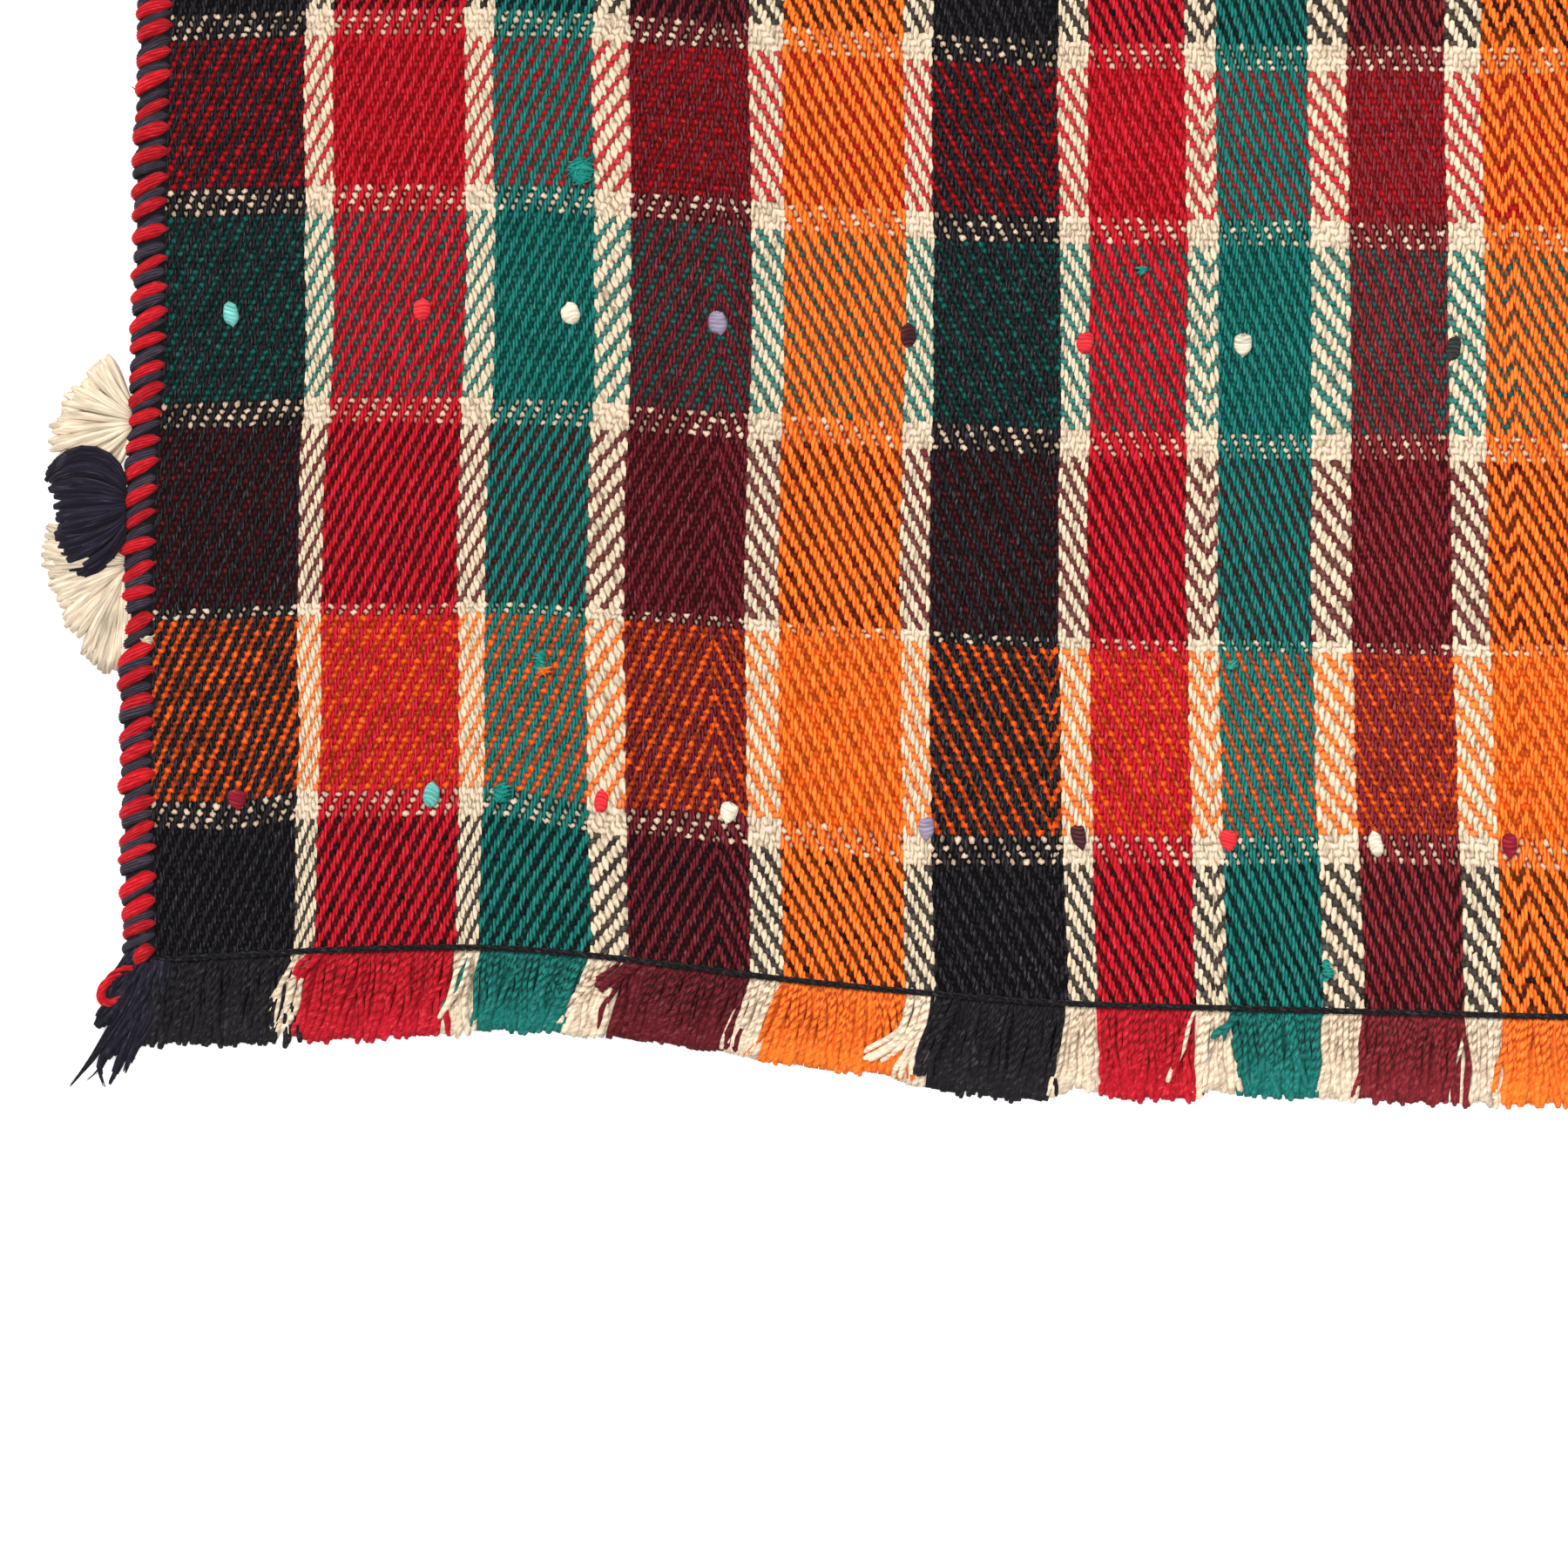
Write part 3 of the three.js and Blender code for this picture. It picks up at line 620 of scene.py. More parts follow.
def build_binding(name, side):
    """The wraps of one long side; side is -1 or 1."""
    count = 2 * round(corner_y / wrap_step) + 1
    place = np.linspace(-corner_y - 1, corner_y + 1, count)
    place = place + rng.uniform(-1.2, 1.2, count) + 0.8 * np.sin(place / 23 + side)
    section = np.array(binding_section)
    across = np.linspace(-1, 1, wrap_columns)
    red = np.arange(count) % 2 == 0
    bulge = np.where(red, red_bulge, slate_bulge)[:, None] * rng.uniform(0.85, 1.15, (count, 1))
    dome = bulge * (1 - across**2) - core_depth
    dome = dome + np.where(np.arange(wrap_columns) % 2 == 1, yarn_bulge, 0)
    centre = np.array([5.2, 2.1])
    out = (section - centre) / [6, 2.3]
    out = out / np.linalg.norm(out, axis=1, keepdims=True)
    grown = section[None, :, None] + out[None, :, None] * dome[:, None, :, None]
    half = wrap_step * rng.uniform(*turn_widths, count) * np.where(red, red_width, 1)
    slant = wrap_slant + rng.uniform(-2, 1.6, count)
    wide = np.zeros((count, len(section), wrap_columns, 3))
    # The turns run up towards the cloth, and back below
    run = -(section[:, 0] / binding_width)[None, :, None] * slant[:, None, None]
    bow = 0.5 * np.sin(np.linspace(0, 2 * np.pi, len(section), endpoint=False))[None, :, None]
    taper = np.array([0.35, 0.8, 1, 1, 0.95] + [0.85] * (len(section) - 5))[:, None]
    wide[..., 1] = place[:, None, None] + run + bow + across * taper * half[:, None, None] + 0.45 * wrap_slant
    edge = cloth_half_width(np.clip(wide[..., 1], -corner_y, corner_y))
    swell = 1 + rng.uniform(-0.05, 0.05, count)[:, None, None]
    wide[..., 0] = side * (edge + grown[..., 0] * swell)
    wide[..., 2] = np.maximum(grown[..., 1] * swell, 0)
    # The last turn at each corner is small and shows the core beside it
    for last in (0, count - 1):
        wide[last, ..., 0] = side * (edge[last] + 0.5 + grown[last, ..., 0] * last_turn)
        wide[last, ..., 2] = np.where(grown[last, ..., 1] > 1.5, wide[last, ..., 2] + 0.4, wide[last, ..., 2])
    points = wide.transpose(0, 2, 1, 3)
    faces = tube_faces(count, wrap_columns, len(section))
    if side < 0:
        faces = faces[:, ::-1]
    lengths = np.concatenate([[0], np.cumsum(np.linalg.norm(np.diff(section, axis=0), axis=1))])
    # The shade attribute paints shade at the edges of each turn, where the turns meet
    attributes = {
        "along": lengths,
        "around": (across[:, None] + 1) / 2 * wrap_yarns,
        "tint": rng.uniform(0, 1, (count, 1, 1)),
        "yarn": np.where(red, 0.5, 1.5)[:, None, None],
        "shade": np.abs(across[:, None]) ** 4,
        "loose": 0.35,
    }
    # The core that the wraps close in on, a cord of slate wool along the edge, darkened with painted shade
    # where it shows between the wraps
    stations = np.linspace(-corner_y - 1.5, corner_y + 1.5, core_stations)
    edge = cloth_half_width(np.clip(stations, -corner_y, corner_y))
    inside = np.array(core_section)
    core = np.zeros((core_stations, len(inside), 3))
    core[..., 0] = side * (edge[:, None] + inside[None, :, 0])
    core[..., 1] = stations[:, None]
    core[..., 2] = inside[None, :, 1]
    core_faces = tube_faces(1, core_stations, len(inside)) + points[..., 0].size
    first = points[..., 0].size + np.arange(len(inside))[None]
    caps = [first, (first + (core_stations - 1) * len(inside))[:, ::-1]]
    if side > 0:
        core_faces, caps = core_faces[:, ::-1], [cap[:, ::-1] for cap in caps]
    flat = np.zeros(core_stations * len(inside))
    core_values = {"yarn": 1.5, "shade": 0.6}
    for word, values in attributes.items():
        attributes[word] = np.concatenate([for_each_point(values, points), flat + core_values.get(word, 0.3)])
    points = np.concatenate([points.reshape(-1, 3), core.reshape(-1, 3)])
    made = joined_mesh(name, points, [faces, core_faces, *caps], attributes, wool_wraps)
    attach(made, "root")
    return made


wool_wraps = spun_wool("wrapping wool", ["binding red", "slate"], 0)
left_wraps = build_binding("left_overcast", -1)
right_wraps = build_binding("right_overcast", 1)
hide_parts("binding_left")
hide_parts("binding_right")

# The end cords: two black yarns twined round each other across the weaving's end, one cord
# at each end, where they hold the last pick.
cord_middle = 1.2
cord_height = 2.5
cord_radius = 0.45
cord_yarn = 0.95
cord_pitch = 7.2
cord_sides = 6
cord_step = 1.15


def strands(paths, radii, sides, flatness=1):
    """Round or flattened yarns along many paths, closed at both ends."""
    paths = np.asarray(paths, float)
    count, rings = paths.shape[:2]
    radii = np.broadcast_to(radii, (count, rings))
    forward = np.gradient(paths, axis=1)
    forward = forward / np.linalg.norm(forward, axis=2, keepdims=True)
    sideways = np.cross(forward, [0, 0, 1])
    sideways = sideways / np.maximum(np.linalg.norm(sideways, axis=2, keepdims=True), 1e-6)
    upward = np.cross(sideways, forward)
    angle = np.arange(sides) / sides * 2 * np.pi
    turned = sideways[:, :, None] * np.sin(angle)[:, None]
    turned = turned - upward[:, :, None] * np.cos(angle)[:, None] * flatness
    points = paths[:, :, None] + turned * radii[:, :, None, None]
    steps = np.linalg.norm(np.diff(paths, axis=1), axis=2)
    along = np.concatenate([np.zeros((count, 1)), np.cumsum(steps, axis=1)], axis=1)
    along = along + rng.uniform(0, 60, (count, 1))
    attributes = {
        "along": along[:, :, None],
        "around": np.arange(sides) / sides * 2,
        "shade": np.clip(np.abs(angle / np.pi - 1) * 2 - 0.5, 0, 1),
        "tint": rng.uniform(0, 1, (count, 1, 1)),
        "loose": 0,
    }
    points[..., 2] = np.maximum(points[..., 2], 0)
    return points, [tube_faces(count, rings, sides), *end_caps(count, rings, sides)], attributes


wool_cord = spun_wool("black cord wool", ["black"], 0.3)
for name, node, end in (("near_end_cord", "cord_near", -1), ("far_end_cord", "cord_far", 1)):
    x = np.arange(-corner_half_width + 0.4, corner_half_width - 0.4, cord_step)
    turns = x / cord_pitch * 2 * np.pi + 0.5 * np.sin(x / 31)
    paths = []
    for own_turns in (turns, turns + np.pi):
        y = end * (end_line(x) + cord_middle + cord_radius * np.cos(own_turns))
        z = cord_height + cord_radius * np.sin(own_turns)
        paths.append(np.stack([x, y, z], axis=1))
    points, faces, attributes = strands(paths, cord_yarn, cord_sides)
    cord = joined_mesh(name, points, faces, attributes, wool_cord)
    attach(cord, "root")
    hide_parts(node)

# The fringes: the two-ply warp ends beyond the cord, in the colours of their stripes. They
# lie over each other in a thick layer, lean this way and that, and end in cut, frayed tips.
fringe_share = np.array([0, 0.12, 0.28, 0.45, 0.62, 0.78, 0.9, 0.97, 1])
fringe_swell = np.array([0.75, 0.9, 1.05, 1.15, 1.25, 1.35, 1.4, 1.3, 0.85])
fringe_sides = 6
yarns_per_end = 1.15
fringe_yarn = 0.95
# The lower layer, which fills the fringe: the space between its yarns and their thickness
under_space = 1.9
under_share = np.array([0, 0.3, 0.6, 0.9, 1])
under_yarn = 1.4 * np.array([0.85, 1, 1.15, 1.35, 1.0])
under_flatness = 0.65
under_height = 1.0
# How far the tips have moved to the right, and the length, by the place across: near end
tip_place = [-728, -681, -675, -670, -618, -613, -608, -565, -558, -550, -505, -498, -490, -447]
tip_place += [-441, -434, -384, -378, -372, -334, -328, -322, -287, -279, -271, -235, -192]
tip_shift = [-4, -4, -12.5, -7.5, -5.5, -4, -1.5, -12, -13, -8.5, -10, -10, -10.5, 4.5]
tip_shift += [-12, -3.5, -8, -4, 1.5, 0, -2, 4.5, -1.5, -1.5, -2.5, -0.5, 0]
length_place = [-728, -680, -675, -665, -618, -600, -565, -505, -490, -447, -430, -384, -378, -365]
length_place += [-334, -328, -320, -235, -192]
length_value = [35, 37, 33, 37.5, 36, 33.5, 32.5, 32, 34, 36, 39, 40, 35, 38, 38, 34, 35.5, 36.5, 36]
# Bunches that stick out of the near fringe: place, shift of the tip, length, yarns, and how
# late along their length they bend
stray_bunches = [(-609, -14, 28, 3, 1), (-546, -17, 12, 6, 1), (-429, -17, 22, 9, 1.2), (-668, -12, 12, 3, 1)]
stray_bunches += [(-440, -17, 26, 5, 3), (-433, -9, 33, 8, 1), (-334, -10, 30, 3, 1), (-316, -9, 13, 2, 1)]
stray_bunches += [(-300, 5, 32, 3, 1)]
stray_lift = 1.5
# The share of the yarns that lean far from their places, and how far those and the others lean
wild_share = 0.16
wild_lean = 6.5
usual_lean = 2.4


def soft_noise(at, width, seed):
    """Smooth chance between about -1 and 1 along a line."""
    starts = np.random.default_rng(seed).uniform(0, 2 * np.pi, 3)
    return sum(np.sin(at / width * rate + start) for rate, start in zip((1, 1.73, 2.9), starts)) / 2


def build_fringe(name, node, end, seed):
    """The warp ends past one end of the cloth; end is -1 for the near one, 1 for the far one."""
    count = int(end_edges[-1] * yarns_per_end)
    number = (np.arange(count) + rng.uniform(0.2, 0.8, count)) / yarns_per_end
    root_x, root_y = warp_place(number, np.full(count, end * half_length))
    stripe = np.searchsorted(end_edges, number, side="right") - 1
    cream = stripe % 2 == 1
    if end < 0:
        shift = np.interp(root_x, tip_place, tip_shift)
        length = np.interp(root_x, length_place, length_value)
    else:
        shift = 4.5 * soft_noise(root_x, 60, seed)
        length = 36 + 1.5 * soft_noise(root_x, 45, seed + 1)
    under = np.arange(root_x[0] + 0.8, root_x[-1] - 0.8, under_space)
    blur = np.exp(-(((under[:, None] - under) / 7) ** 2))
    under_shift = blur @ np.interp(under, root_x, shift) / blur.sum(axis=1)
    under_length = np.interp(under, root_x, length)
    wild = np.where(rng.uniform(0, 1, count) < wild_share, wild_lean, usual_lean)
    shift = shift + 3 * soft_noise(root_x, 4.5, seed + 2) + wild * rng.normal(0, 1, count)
    length = length - rng.uniform(0, 1, count) ** 2 * 3.5 - 0.012 * shift**2
    layer = np.clip(0.5 + 0.3 * soft_noise(root_x, 5, seed + 4) + rng.uniform(-0.4, 0.4, count), 0, 1)
    layer[cream] *= 0.7
    power = rng.uniform(0.9, 1.5, (count, 1))
    lifted = np.zeros((count, 1))
    if end < 0:
        for place, stray_shift, stray_length, yarns, bend in stray_bunches:
            chosen = np.argsort(np.abs(root_x - place))[:yarns]
            shift[chosen] = stray_shift + rng.normal(0, 1.2, yarns)
            length[chosen] = stray_length + rng.normal(0, 1, yarns)
            layer[chosen] = rng.uniform(1, 1.4, yarns)
            power[chosen] = bend
            lifted[chosen] = stray_lift
    share = fringe_share
    wave = rng.uniform(0, 2 * np.pi, (3, count, 1))
    x = root_x[:, None] + shift[:, None] * share**power
    x = x + 1.1 * share**0.5 * (np.sin(share * 9 + wave[0]) - np.sin(wave[0]))
    y = np.abs(root_y)[:, None] - 1.4 + (length[:, None] + 1.4) * (share - 0.03 * np.sin(share * 6 + wave[1]))
    rise = np.sin(np.clip(share * 1.1, 0, 1) * np.pi) * np.clip((y - np.abs(root_y)[:, None] - 2) / 6, 0, 1)
    z = 0.9 + (0.6 + 2.6 * layer[:, None]) * rise + lifted * share + 0.5 * share * np.sin(share * 9 + wave[2])
    radius = fringe_yarn * np.where(cream, 1.05, 1)[:, None] * rng.uniform(0.85, 1.15, (count, 1))
    radius = radius * fringe_swell
    paths = np.stack([x, end * y, np.maximum(z, radius * 0.9)], axis=2)
    points, faces, attributes = strands(paths, radius, fringe_sides)
    attributes["yarn"] = stripe[:, None, None] + 0.5
    # Painted shade: yarns lower in the layer are darker, on top of each yarn's own random tint
    attributes["tint"] = attributes["tint"] * 0.5 + 0.5 * layer[:, None, None]
    attributes["loose"] = np.interp(share, [0, 0.5, 0.95], [0, 0.15, 0.9])[:, None]

    # The lower layer
    share = under_share
    under_y = np.interp(under, root_x, np.abs(root_y))[:, None] - 1
    under_x = under[:, None] + (under_shift + 1.5 * soft_noise(under, 9, seed + 5))[:, None] * share
    under_reach = under_length + 0.5 * soft_noise(under, 6, seed + 3) - rng.uniform(0, 0.7, len(under))
    under_y = under_y + under_reach[:, None] * share
    paths = np.stack([under_x, end * under_y, np.full(under_x.shape, under_height)], axis=2)
    under_points, under_faces, under_values = strands(paths, under_yarn, fringe_sides, under_flatness)
    under_stripe = np.searchsorted(end_edges, np.interp(under, root_x, number), side="right") - 1
    under_values["yarn"] = under_stripe[:, None, None] + 0.5
    # Painted shade: the lower layer is darker than the yarns over it
    under_values["tint"] = under_values["tint"] * 0.4 + 0.2
    under_values["loose"] = 0.8
    faces += [part + points[..., 0].size for part in under_faces]
    for word, values in attributes.items():
        both = [for_each_point(values, points), for_each_point(under_values[word], under_points)]
        attributes[word] = np.concatenate(both)
    points = np.concatenate([points.reshape(-1, 3), under_points.reshape(-1, 3)])
    made = joined_mesh(name, points, faces, attributes, wool_ends)
    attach(made, "root")
    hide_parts(node)
    return made


end_colours = ["pale cream" if name == "cream" else name for name in warp_colours]
wool_ends = spun_wool("warp end wool", end_colours, 0.27, 0.6)
near_fringe = build_fringe("near_fringe", "fringe_near", -1, 10)
far_fringe = build_fringe("far_fringe", "fringe_far", 1, 20)

# The side tassels: bunches of cut wool knotted into the overcast edge, navy over cream,
# fanned out over the floor. They stand in groups of three along both sides.
group_places = [-785, -392.5, 0, 392.5, 785]
tuft_locks = 60
tuft_clumps = 11
tuft_rings = 8
tuft_sides = 5
lock_half_width = 1.5
lock_flatness = 0.5
lock_plies = 2.5
tassel_limit = 777
# Each tuft: its place along the side, the width of its root, and from its upper to its lower
# locks the headings at the root and at the tip, and the length
side_tufts = {
    "upper": (26, 10, [112, 135, 165, 200, 262], [120, 134, 166, 200, 208], [24, 24.5, 28, 34, 37]),
    "middle": (-6.3, 20, [95, 122, 180, 225, 262], [236, 205, 184, 190, 202], [39, 34, 27, 29, 30]),
    "lower": (-30.5, 8, [158, 178, 205, 245, 276], [164, 184, 205, 240, 268], [34, 32, 29, 35.5, 39.5]),
}


def fan_strands(root, spread_root, start_angles, tip_angles, reaches, side, base):
    """Locks that fan out from a knot on the left side, or mirrored on the right."""
    place = (np.arange(tuft_locks) + rng.uniform(0, 1, tuft_locks)) / tuft_locks
    stops = np.linspace(0, 1, len(reaches))
    share = np.linspace(0, 1, tuft_rings)
    clump = np.minimum((place * tuft_clumps).astype(int), tuft_clumps - 1)
    start = np.interp(place, stops, start_angles) + rng.normal(0, 4, tuft_locks)
    tip = np.interp(place, stops, tip_angles) + rng.normal(0, 2, tuft_clumps)[clump]
    tip = tip + rng.normal(0, 3, tuft_locks)
    heading = np.radians(start[:, None] + (tip - start)[:, None] * share)
    reach = np.interp(place, stops, reaches) * rng.uniform(0.93, 1.03, tuft_clumps)[clump]
    reach = reach * (1 - 0.07 * rng.uniform(0, 1, tuft_locks) ** 2)
    step = reach[:, None] / (tuft_rings - 1)
    x = np.cumsum(np.cos(heading) * step, axis=1)
    y = np.cumsum(np.sin(heading) * step, axis=1)
    wave = rng.uniform(0, 2 * np.pi, (tuft_locks, 1))
    x = x - x[:, :1] + 0.3 * share * np.sin(share * 7 + wave)
    y = y - y[:, :1] + 0.3 * share * np.sin(share * 6 + wave)
    y = y + (0.5 - place[:, None]) * spread_root
    layer = rng.uniform(0, 1, tuft_locks)[:, None]
    arch = np.sin(np.clip(0.12 + share * 0.93, 0, 1) * np.pi) ** 0.7
    z = base + (0.6 + 2.6 * layer) * arch + 0.8 * (1 - share)
    x = np.maximum(root[0] + x, -tassel_limit)
    return np.stack([side * -x, root[1] + y, np.maximum(z, 0.9)], axis=2)


def build_tassels(name, parts, base, colour):
    paths = []
    nodes = []
    for side, word in ((-1, "left"), (1, "right")):
        for number, place in enumerate(group_places, start=1):
            for part in parts:
                shift, spread_root, start_angles, tip_angles, reaches = side_tufts[part]
                root = (-float(cloth_half_width(place + shift)) - binding_width + 2, place + shift)
                paths.append(fan_strands(root, spread_root, start_angles, tip_angles, reaches, side, base))
                nodes.append(f"tassel_{word}_{number}_{part}")
    paths = np.concatenate(paths)
    swell = np.interp(np.linspace(0, 1, tuft_rings), [0, 0.3, 0.85, 1], [0.5, 0.9, 1.45, 0.6])
    radii = lock_half_width * swell
    points, faces, attributes = strands(paths, radii, tuft_sides, lock_flatness)
    attributes["around"] = attributes["around"] * lock_plies
    attributes["along"] = attributes["along"] * 0.35
    attributes["shade"] = attributes["shade"] * 0.5
    attributes["loose"] = 0.7
    cut_wool = spun_wool(f"{colour} tassel wool", [colour], 0.02, 0.2)
    made = joined_mesh(name, points, faces, attributes, cut_wool)
    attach(made, "root")
    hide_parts(*nodes)


build_tassels("cream_tassels", ["upper", "lower"], 0.7, "tassel cream")
build_tassels("navy_tassels", ["middle"], 2.6, "navy")

# The tied tufts: short ends of coloured wool knotted through the cloth in rows, each a small
# domed tuft on its face.
tuft_row_start = -902.5
tuft_row_pitch = 185.5
tuft_pitch = 63.5
tuft_start = -702
tuft_scatter = 7
tuft_margin = 11.4
first_row = [-701, -626.7, -561.7, -513, -437.3, -378.7, -321.7, -265.3, -214]
second_row = [-703.3, -630.3, -573.3, -517, -444.3, -376.3, -316, -235.7, -172]
tuft_columns = 23
tuft_rows = 10
knot_colours = ["dark red", "turquoise", "bright red", "white", "lilac", "brown", "bright red", "white"]
second_colours = ["turquoise", "bright red", "white", "lilac", "brown", "bright red", "white", "dark grey"]
tuft_palette = ["dark red", "turquoise", "bright red", "white", "lilac", "brown", "dark grey"]
lump_rings = 9
lump_sides = 14
lump_half_width = 3.3
lump_half_length = 4.8
lump_height = 2.1


def tied_tufts():
    """The places of all the tied tufts and their colours by number."""
    places = []
    for row in range(tuft_rows):
        for column in range(tuft_columns):
            number = row * tuft_columns + column
            wave = math.sin(number * 12.9898 + 4.1414) * 43758.5453
            chance = 2 * (wave - math.floor(wave)) - 1
            placed = [first_row, second_row][row][min(column, 8)] if row < 2 else tuft_start
            steps = max(column - 8, 0) if row < 2 else column
            x = placed + steps * tuft_pitch + (tuft_scatter * chance if steps else 0)
            if abs(x) > corner_half_width - tuft_margin:
                continue
            straight = tuft_row_start + row * tuft_row_pitch
            names = knot_colours if row % 2 == 0 else second_colours
            colour = tuft_palette.index(names[(column + row // 2) % len(names)])
            places.append((x, straight + float(sag_at(x, straight)), colour))
    return np.array(places)


knots = tied_tufts()
count = len(knots)
share = np.linspace(-1, 1, lump_rings)[None, :, None]
angle = (np.arange(lump_sides) / lump_sides * 2 * np.pi)[None, None]
narrowing = rng.uniform(-0.05, 0.3, (count, 1, 1))
outline = np.maximum(1 - np.abs(share) ** 2.6, 0.015) ** 0.5 * (1 + narrowing * share)
half_width = lump_half_width * rng.uniform(0.8, 1.12, (count, 1, 1))
half_long = lump_half_length * rng.uniform(0.8, 1.1, (count, 1, 1))
dent = 1 + 0.07 * np.sin(3 * angle + rng.uniform(0, 6, (count, 1, 1))) + 0.05 * np.sin(share * 5 + 2 * angle)
lump_x = np.sin(angle) * outline * half_width * dent
lump_y = share * half_long + 0.5 * np.sin(2 * angle + narrowing * 20)
lean = rng.uniform(-0.35, 0.35, (count, 1, 1))
points = np.zeros((count, lump_rings, lump_sides, 3))
points[..., 0] = knots[:, 0, None, None] + lump_x * np.cos(lean) - lump_y * np.sin(lean)
points[..., 1] = knots[:, 1, None, None] + lump_x * np.sin(lean) + lump_y * np.cos(lean)
points[..., 2] = cloth_thickness + np.maximum(-np.cos(angle) * outline * lump_height * dent, -0.6)
faces = [tube_faces(count, lump_rings, lump_sides), *end_caps(count, lump_rings, lump_sides)]
attributes = {
    "along": angle * 1.5,
    "around": share * 3 + 0.3 * np.sin(angle),
    "loose": 0.55,
    "shade": np.clip(np.abs(angle / np.pi - 1) * 2 - 0.6, 0, 1),
    "tint": rng.uniform(0.2, 1, (count, 1, 1)),
    "yarn": knots[:, 2, None, None] + 0.5,
}
tuft_wool = spun_wool("tied tuft wool", tuft_palette, 0.04, 0.25)
tufts = joined_mesh("tied_tufts", points, faces, attributes, tuft_wool)
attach(tufts, "root")
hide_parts("cloth")

# The yarns at the near left corner: the tail of the red wrapping wool in a loop, and a bunch
# of dark navy ends that trails out past the corner.
loop_line = [(-740.6, -968.4), (-744, -969.4), (-748, -971.6), (-751.4, -975), (-753, -978.6)]
loop_line += [(-752.2, -981.4), (-749, -982), (-745.5, -979), (-741, -975)]
# A tail of the same wool that sticks out of the left side
tail_line = [(-734.5, -633.6), (-739, -632.6), (-742.6, -630.8)]
# Each bunch: its line, the yarns in it, their half spread and half thickness, and the taper
corner_bunches = [
    ([(-737, -966), (-741, -973), (-746, -980), (-751, -986.6), (-755, -991.4)], 9, 2.3, 1.3, 1.1),
    ([(-736, -966), (-741, -979), (-749, -992), (-757, -1004), (-766, -1015.2)], 9, 3.4, 1.0, 0.08),
    ([(-736, -967), (-742, -981), (-748, -994), (-753, -1006.6), (-759.4, -1012.4)], 5, 2, 0.9, 0.15),
    ([(-735, -967), (-741, -984), (-749, -997), (-754, -1006), (-751.6, -1014.6)], 7, 1.8, 0.9, 0.35),
    ([(-733, -967), (-738, -984), (-743, -997), (-746.6, -1006), (-750, -1013.4)], 8, 2.2, 1.0, 0.5),
    ([(-731, -967), (-734, -983), (-740, -996), (-744.6, -1004), (-739.6, -1003)], 4, 1.4, 0.8, 0.3),
    ([(-730, -967), (-732, -982), (-736, -993), (-741, -1000), (-744, -1009)], 7, 2.4, 1.0, 0.5),
    ([(-731, -966), (-736, -978), (-742, -988), (-747, -996), (-751, -1003.6)], 9, 3.4, 1.1, 0.9),
    ([(-729, -966), (-731, -976), (-734, -986), (-737, -993), (-739, -999)], 9, 3.4, 1.1, 0.7),
    ([(-738, -962), (-742, -967), (-745.5, -972), (-748.5, -976), (-750, -981)], 9, 3.2, 1.1, 1),
]
bunch_rings = 14
loop_yarns = 7
loop_radius = 1.15


def smooth_line(stops, count):
    """Points evenly placed along a smooth curve through the stops."""
    stops = np.array(stops, float)
    length = np.concatenate([[0], np.cumsum(np.linalg.norm(np.diff(stops, axis=0), axis=1))])
    at = np.linspace(0, length[-1], count)
    return np.stack([read_table(length, stops[:, axis], at) for axis in range(2)], axis=1)


def square_to(line):
    """The direction across a line, at each of its points."""
    heading = np.gradient(line, axis=0)
    across = np.stack([-heading[:, 1], heading[:, 0]], axis=1)
    return across / np.linalg.norm(heading, axis=1, keepdims=True)


def corner_object(name, points, faces, attributes, material, node):
    made = joined_mesh(name, points, faces, attributes, material)
    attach(made, "root")
    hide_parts(node)


share = np.linspace(0, 1, 4 * bunch_rings)
line = smooth_line(loop_line, 4 * bunch_rings)
across = square_to(line)
height = 2.6 - 1.2 * share**2
paths = []
for number in range(loop_yarns):
    turn = number / loop_yarns * 2 * np.pi + share * 9
    out = loop_radius if number else 0
    own_line = line + across * (out * np.cos(turn))[:, None]
    paths.append(np.column_stack([own_line, height + out * np.sin(turn)]))
paths.append(np.column_stack([smooth_line(tail_line, 4 * bunch_rings), 2.4 - 1.2 * share]))
radii = np.outer([0.82] * loop_yarns + [0.9], np.interp(share, [0, 0.1, 0.9, 1], [0.9, 1, 1, 0.6]))
radii[-1] = radii[-1] * (1.05 - share)
points, faces, attributes = strands(np.array(paths), radii, 6)
attributes["loose"] = 0.7
attributes["yarn"] = 0.5
corner_object("red_corner_loop", points, faces, attributes, wool_wraps, "binding_left")

paths, radii = [], []
share = np.linspace(0, 1, bunch_rings)
for stops, yarns, spread, thickness, taper in corner_bunches:
    line = smooth_line(stops, bunch_rings)
    across = square_to(line)
    for number in range(yarns):
        place = (number + 0.5) / yarns * 2 - 1
        # The outer yarns of a bunch are shorter, which rounds its end
        at = share * (1 - 0.13 * place**2) * (bunch_rings - 1)
        own_line = np.stack([np.interp(at, np.arange(bunch_rings), line[:, axis]) for axis in (0, 1)], axis=1)
        offset = spread * place * (1 + (taper - 1) * share) + 0.3 * np.sin(share * 7 + 9 * place)
        height = 1.2 + 1.8 * (1 - share) * (1 - place**2) + rng.uniform(0, 0.8)
        paths.append(np.column_stack([own_line + across * offset[:, None], height]))
        radii.append(thickness * (1 + (taper - 1) * share**1.5) * np.interp(share, [0.92, 1], [1, 0.6]))
points, faces, attributes = strands(np.array(paths), np.array(radii), 5)
attributes["loose"] = 0.5
wool_trail = spun_wool("trailing navy wool", ["trail navy"], 0.05, 0.3)
corner_object("navy_corner_ends", points, faces, attributes, wool_trail, "fringe_near")

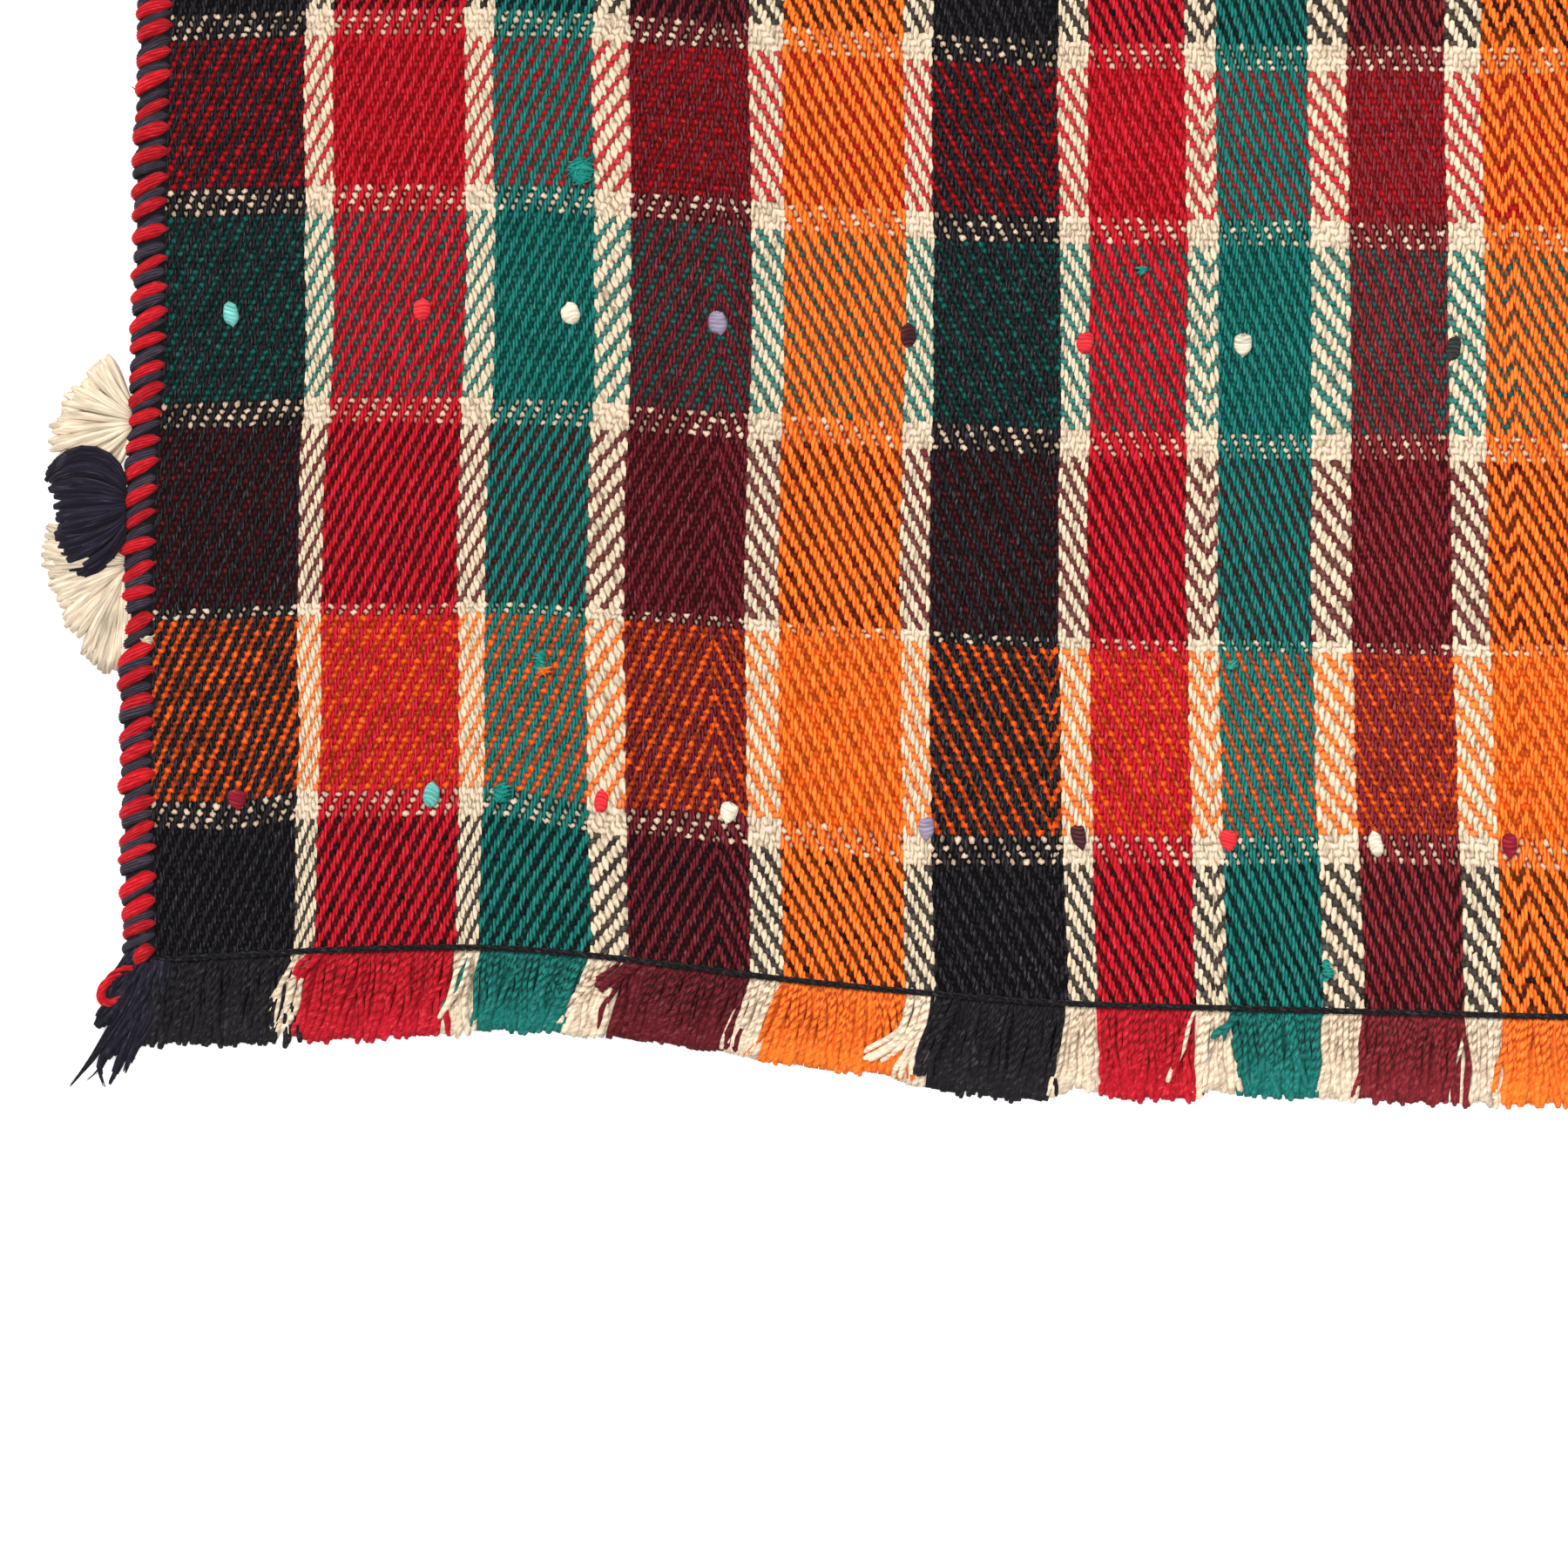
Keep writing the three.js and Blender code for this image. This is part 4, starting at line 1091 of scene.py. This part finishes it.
# Loose wool on the face: slubs, which are soft wads of fibre spun into the yarn, and single
# hairs that stand up from the cloth.
# Each slub: its place, half the fibres in it, its length and width, and its colour
slubs = [(-569.6, -664, 26, 11.5, 7.5, "teal"), (-585, -851.6, 12, 6, 7, "teal")]
slubs += [(-600, -901.6, 14, 8, 6, "teal"), (-583.5, -855, 6, 9, 2, "orange")]
slubs += [(-354.7, -702, 5, 5, 2.4, "teal"), (-284, -969.3, 9, 6, 7, "teal")]
slubs += [(-320.6, -853, 5, 6, 2.4, "light teal"), (-735, -843.3, 5, 8, 1.8, "cream")]
slub_palette = ["teal", "orange", "cream", "light teal"]
slub_rings = 7
slub_fibre = 0.55
hair_count = 520
hair_rings = 6
hair_lengths = (6, 22)
hair_radius = 0.075

paths, radii, yarns = [], [], []
for x, y, count, length, width, colour in slubs:
    for number in range(count * 2):
        share = np.linspace(-0.5, 0.5, slub_rings)
        tilt = rng.normal(0.1, 0.45)
        side = (number + 0.5) / count - 1 + rng.normal(0, 0.12)
        reach = length * (1 - 0.4 * min(side**2, 1.2)) * rng.uniform(0.55, 1.05)
        bend = 0.5 * side * width * (0.25 - share**2)
        path_x = x + share * reach * math.cos(tilt) + rng.normal(0, 0.08 * length)
        path_y = y + share * reach * math.sin(tilt) + 0.45 * side * width + bend
        path_z = cloth_thickness + 0.5 + (0.25 - share**2) * rng.uniform(2, 5)
        paths.append(np.stack([path_x, path_y, path_z], axis=1))
        radii.append(slub_fibre * (1 - 3.4 * share**2))
        yarns.append(slub_palette.index(colour) + 0.5)
points, faces, attributes = strands(np.array(paths), np.maximum(np.array(radii), 0.1), 5)
attributes["yarn"] = np.array(yarns)[:, None, None]
attributes["shade"] = attributes["shade"] * 0.3
attributes["loose"] = 0.6
wads = joined_mesh("slubs", points, faces, attributes, spun_wool("slub wool", slub_palette, 0, 0.1))

share = np.linspace(0, 1, hair_rings)
start_x = rng.uniform(-corner_half_width + 6, corner_half_width - 6, hair_count)
start_y = rng.uniform(-half_length + 8, half_length - 8, hair_count)
heading = rng.uniform(0, 2 * np.pi, (hair_count, 1)) + rng.normal(0, 1.6, (hair_count, 1)) * share
step = rng.uniform(*hair_lengths, (hair_count, 1)) / (hair_rings - 1)
x = start_x[:, None] + np.cumsum(np.cos(heading) * step, axis=1)
y = start_y[:, None] + np.cumsum(np.sin(heading) * step, axis=1)
x = np.clip(x, -corner_half_width, corner_half_width)
y = np.clip(y, -half_length + 2, half_length - 2)
z = cloth_thickness + 0.7 + rng.uniform(0.3, 2, (hair_count, 1)) * np.sin(share * np.pi)
points, faces, attributes = strands(np.stack([x, y, z], axis=2), hair_radius, 3)
attributes["yarn"] = rng.integers(0, 3, (hair_count, 1, 1)) + 0.5
hair_wool = spun_wool("loose hair", ["hair", "hair", "dark grey"], 0)
hairs = joined_mesh("loose_hairs", points, faces, attributes, hair_wool)
for made in (wads, hairs):
    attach(made, "root")
    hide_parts("cloth")
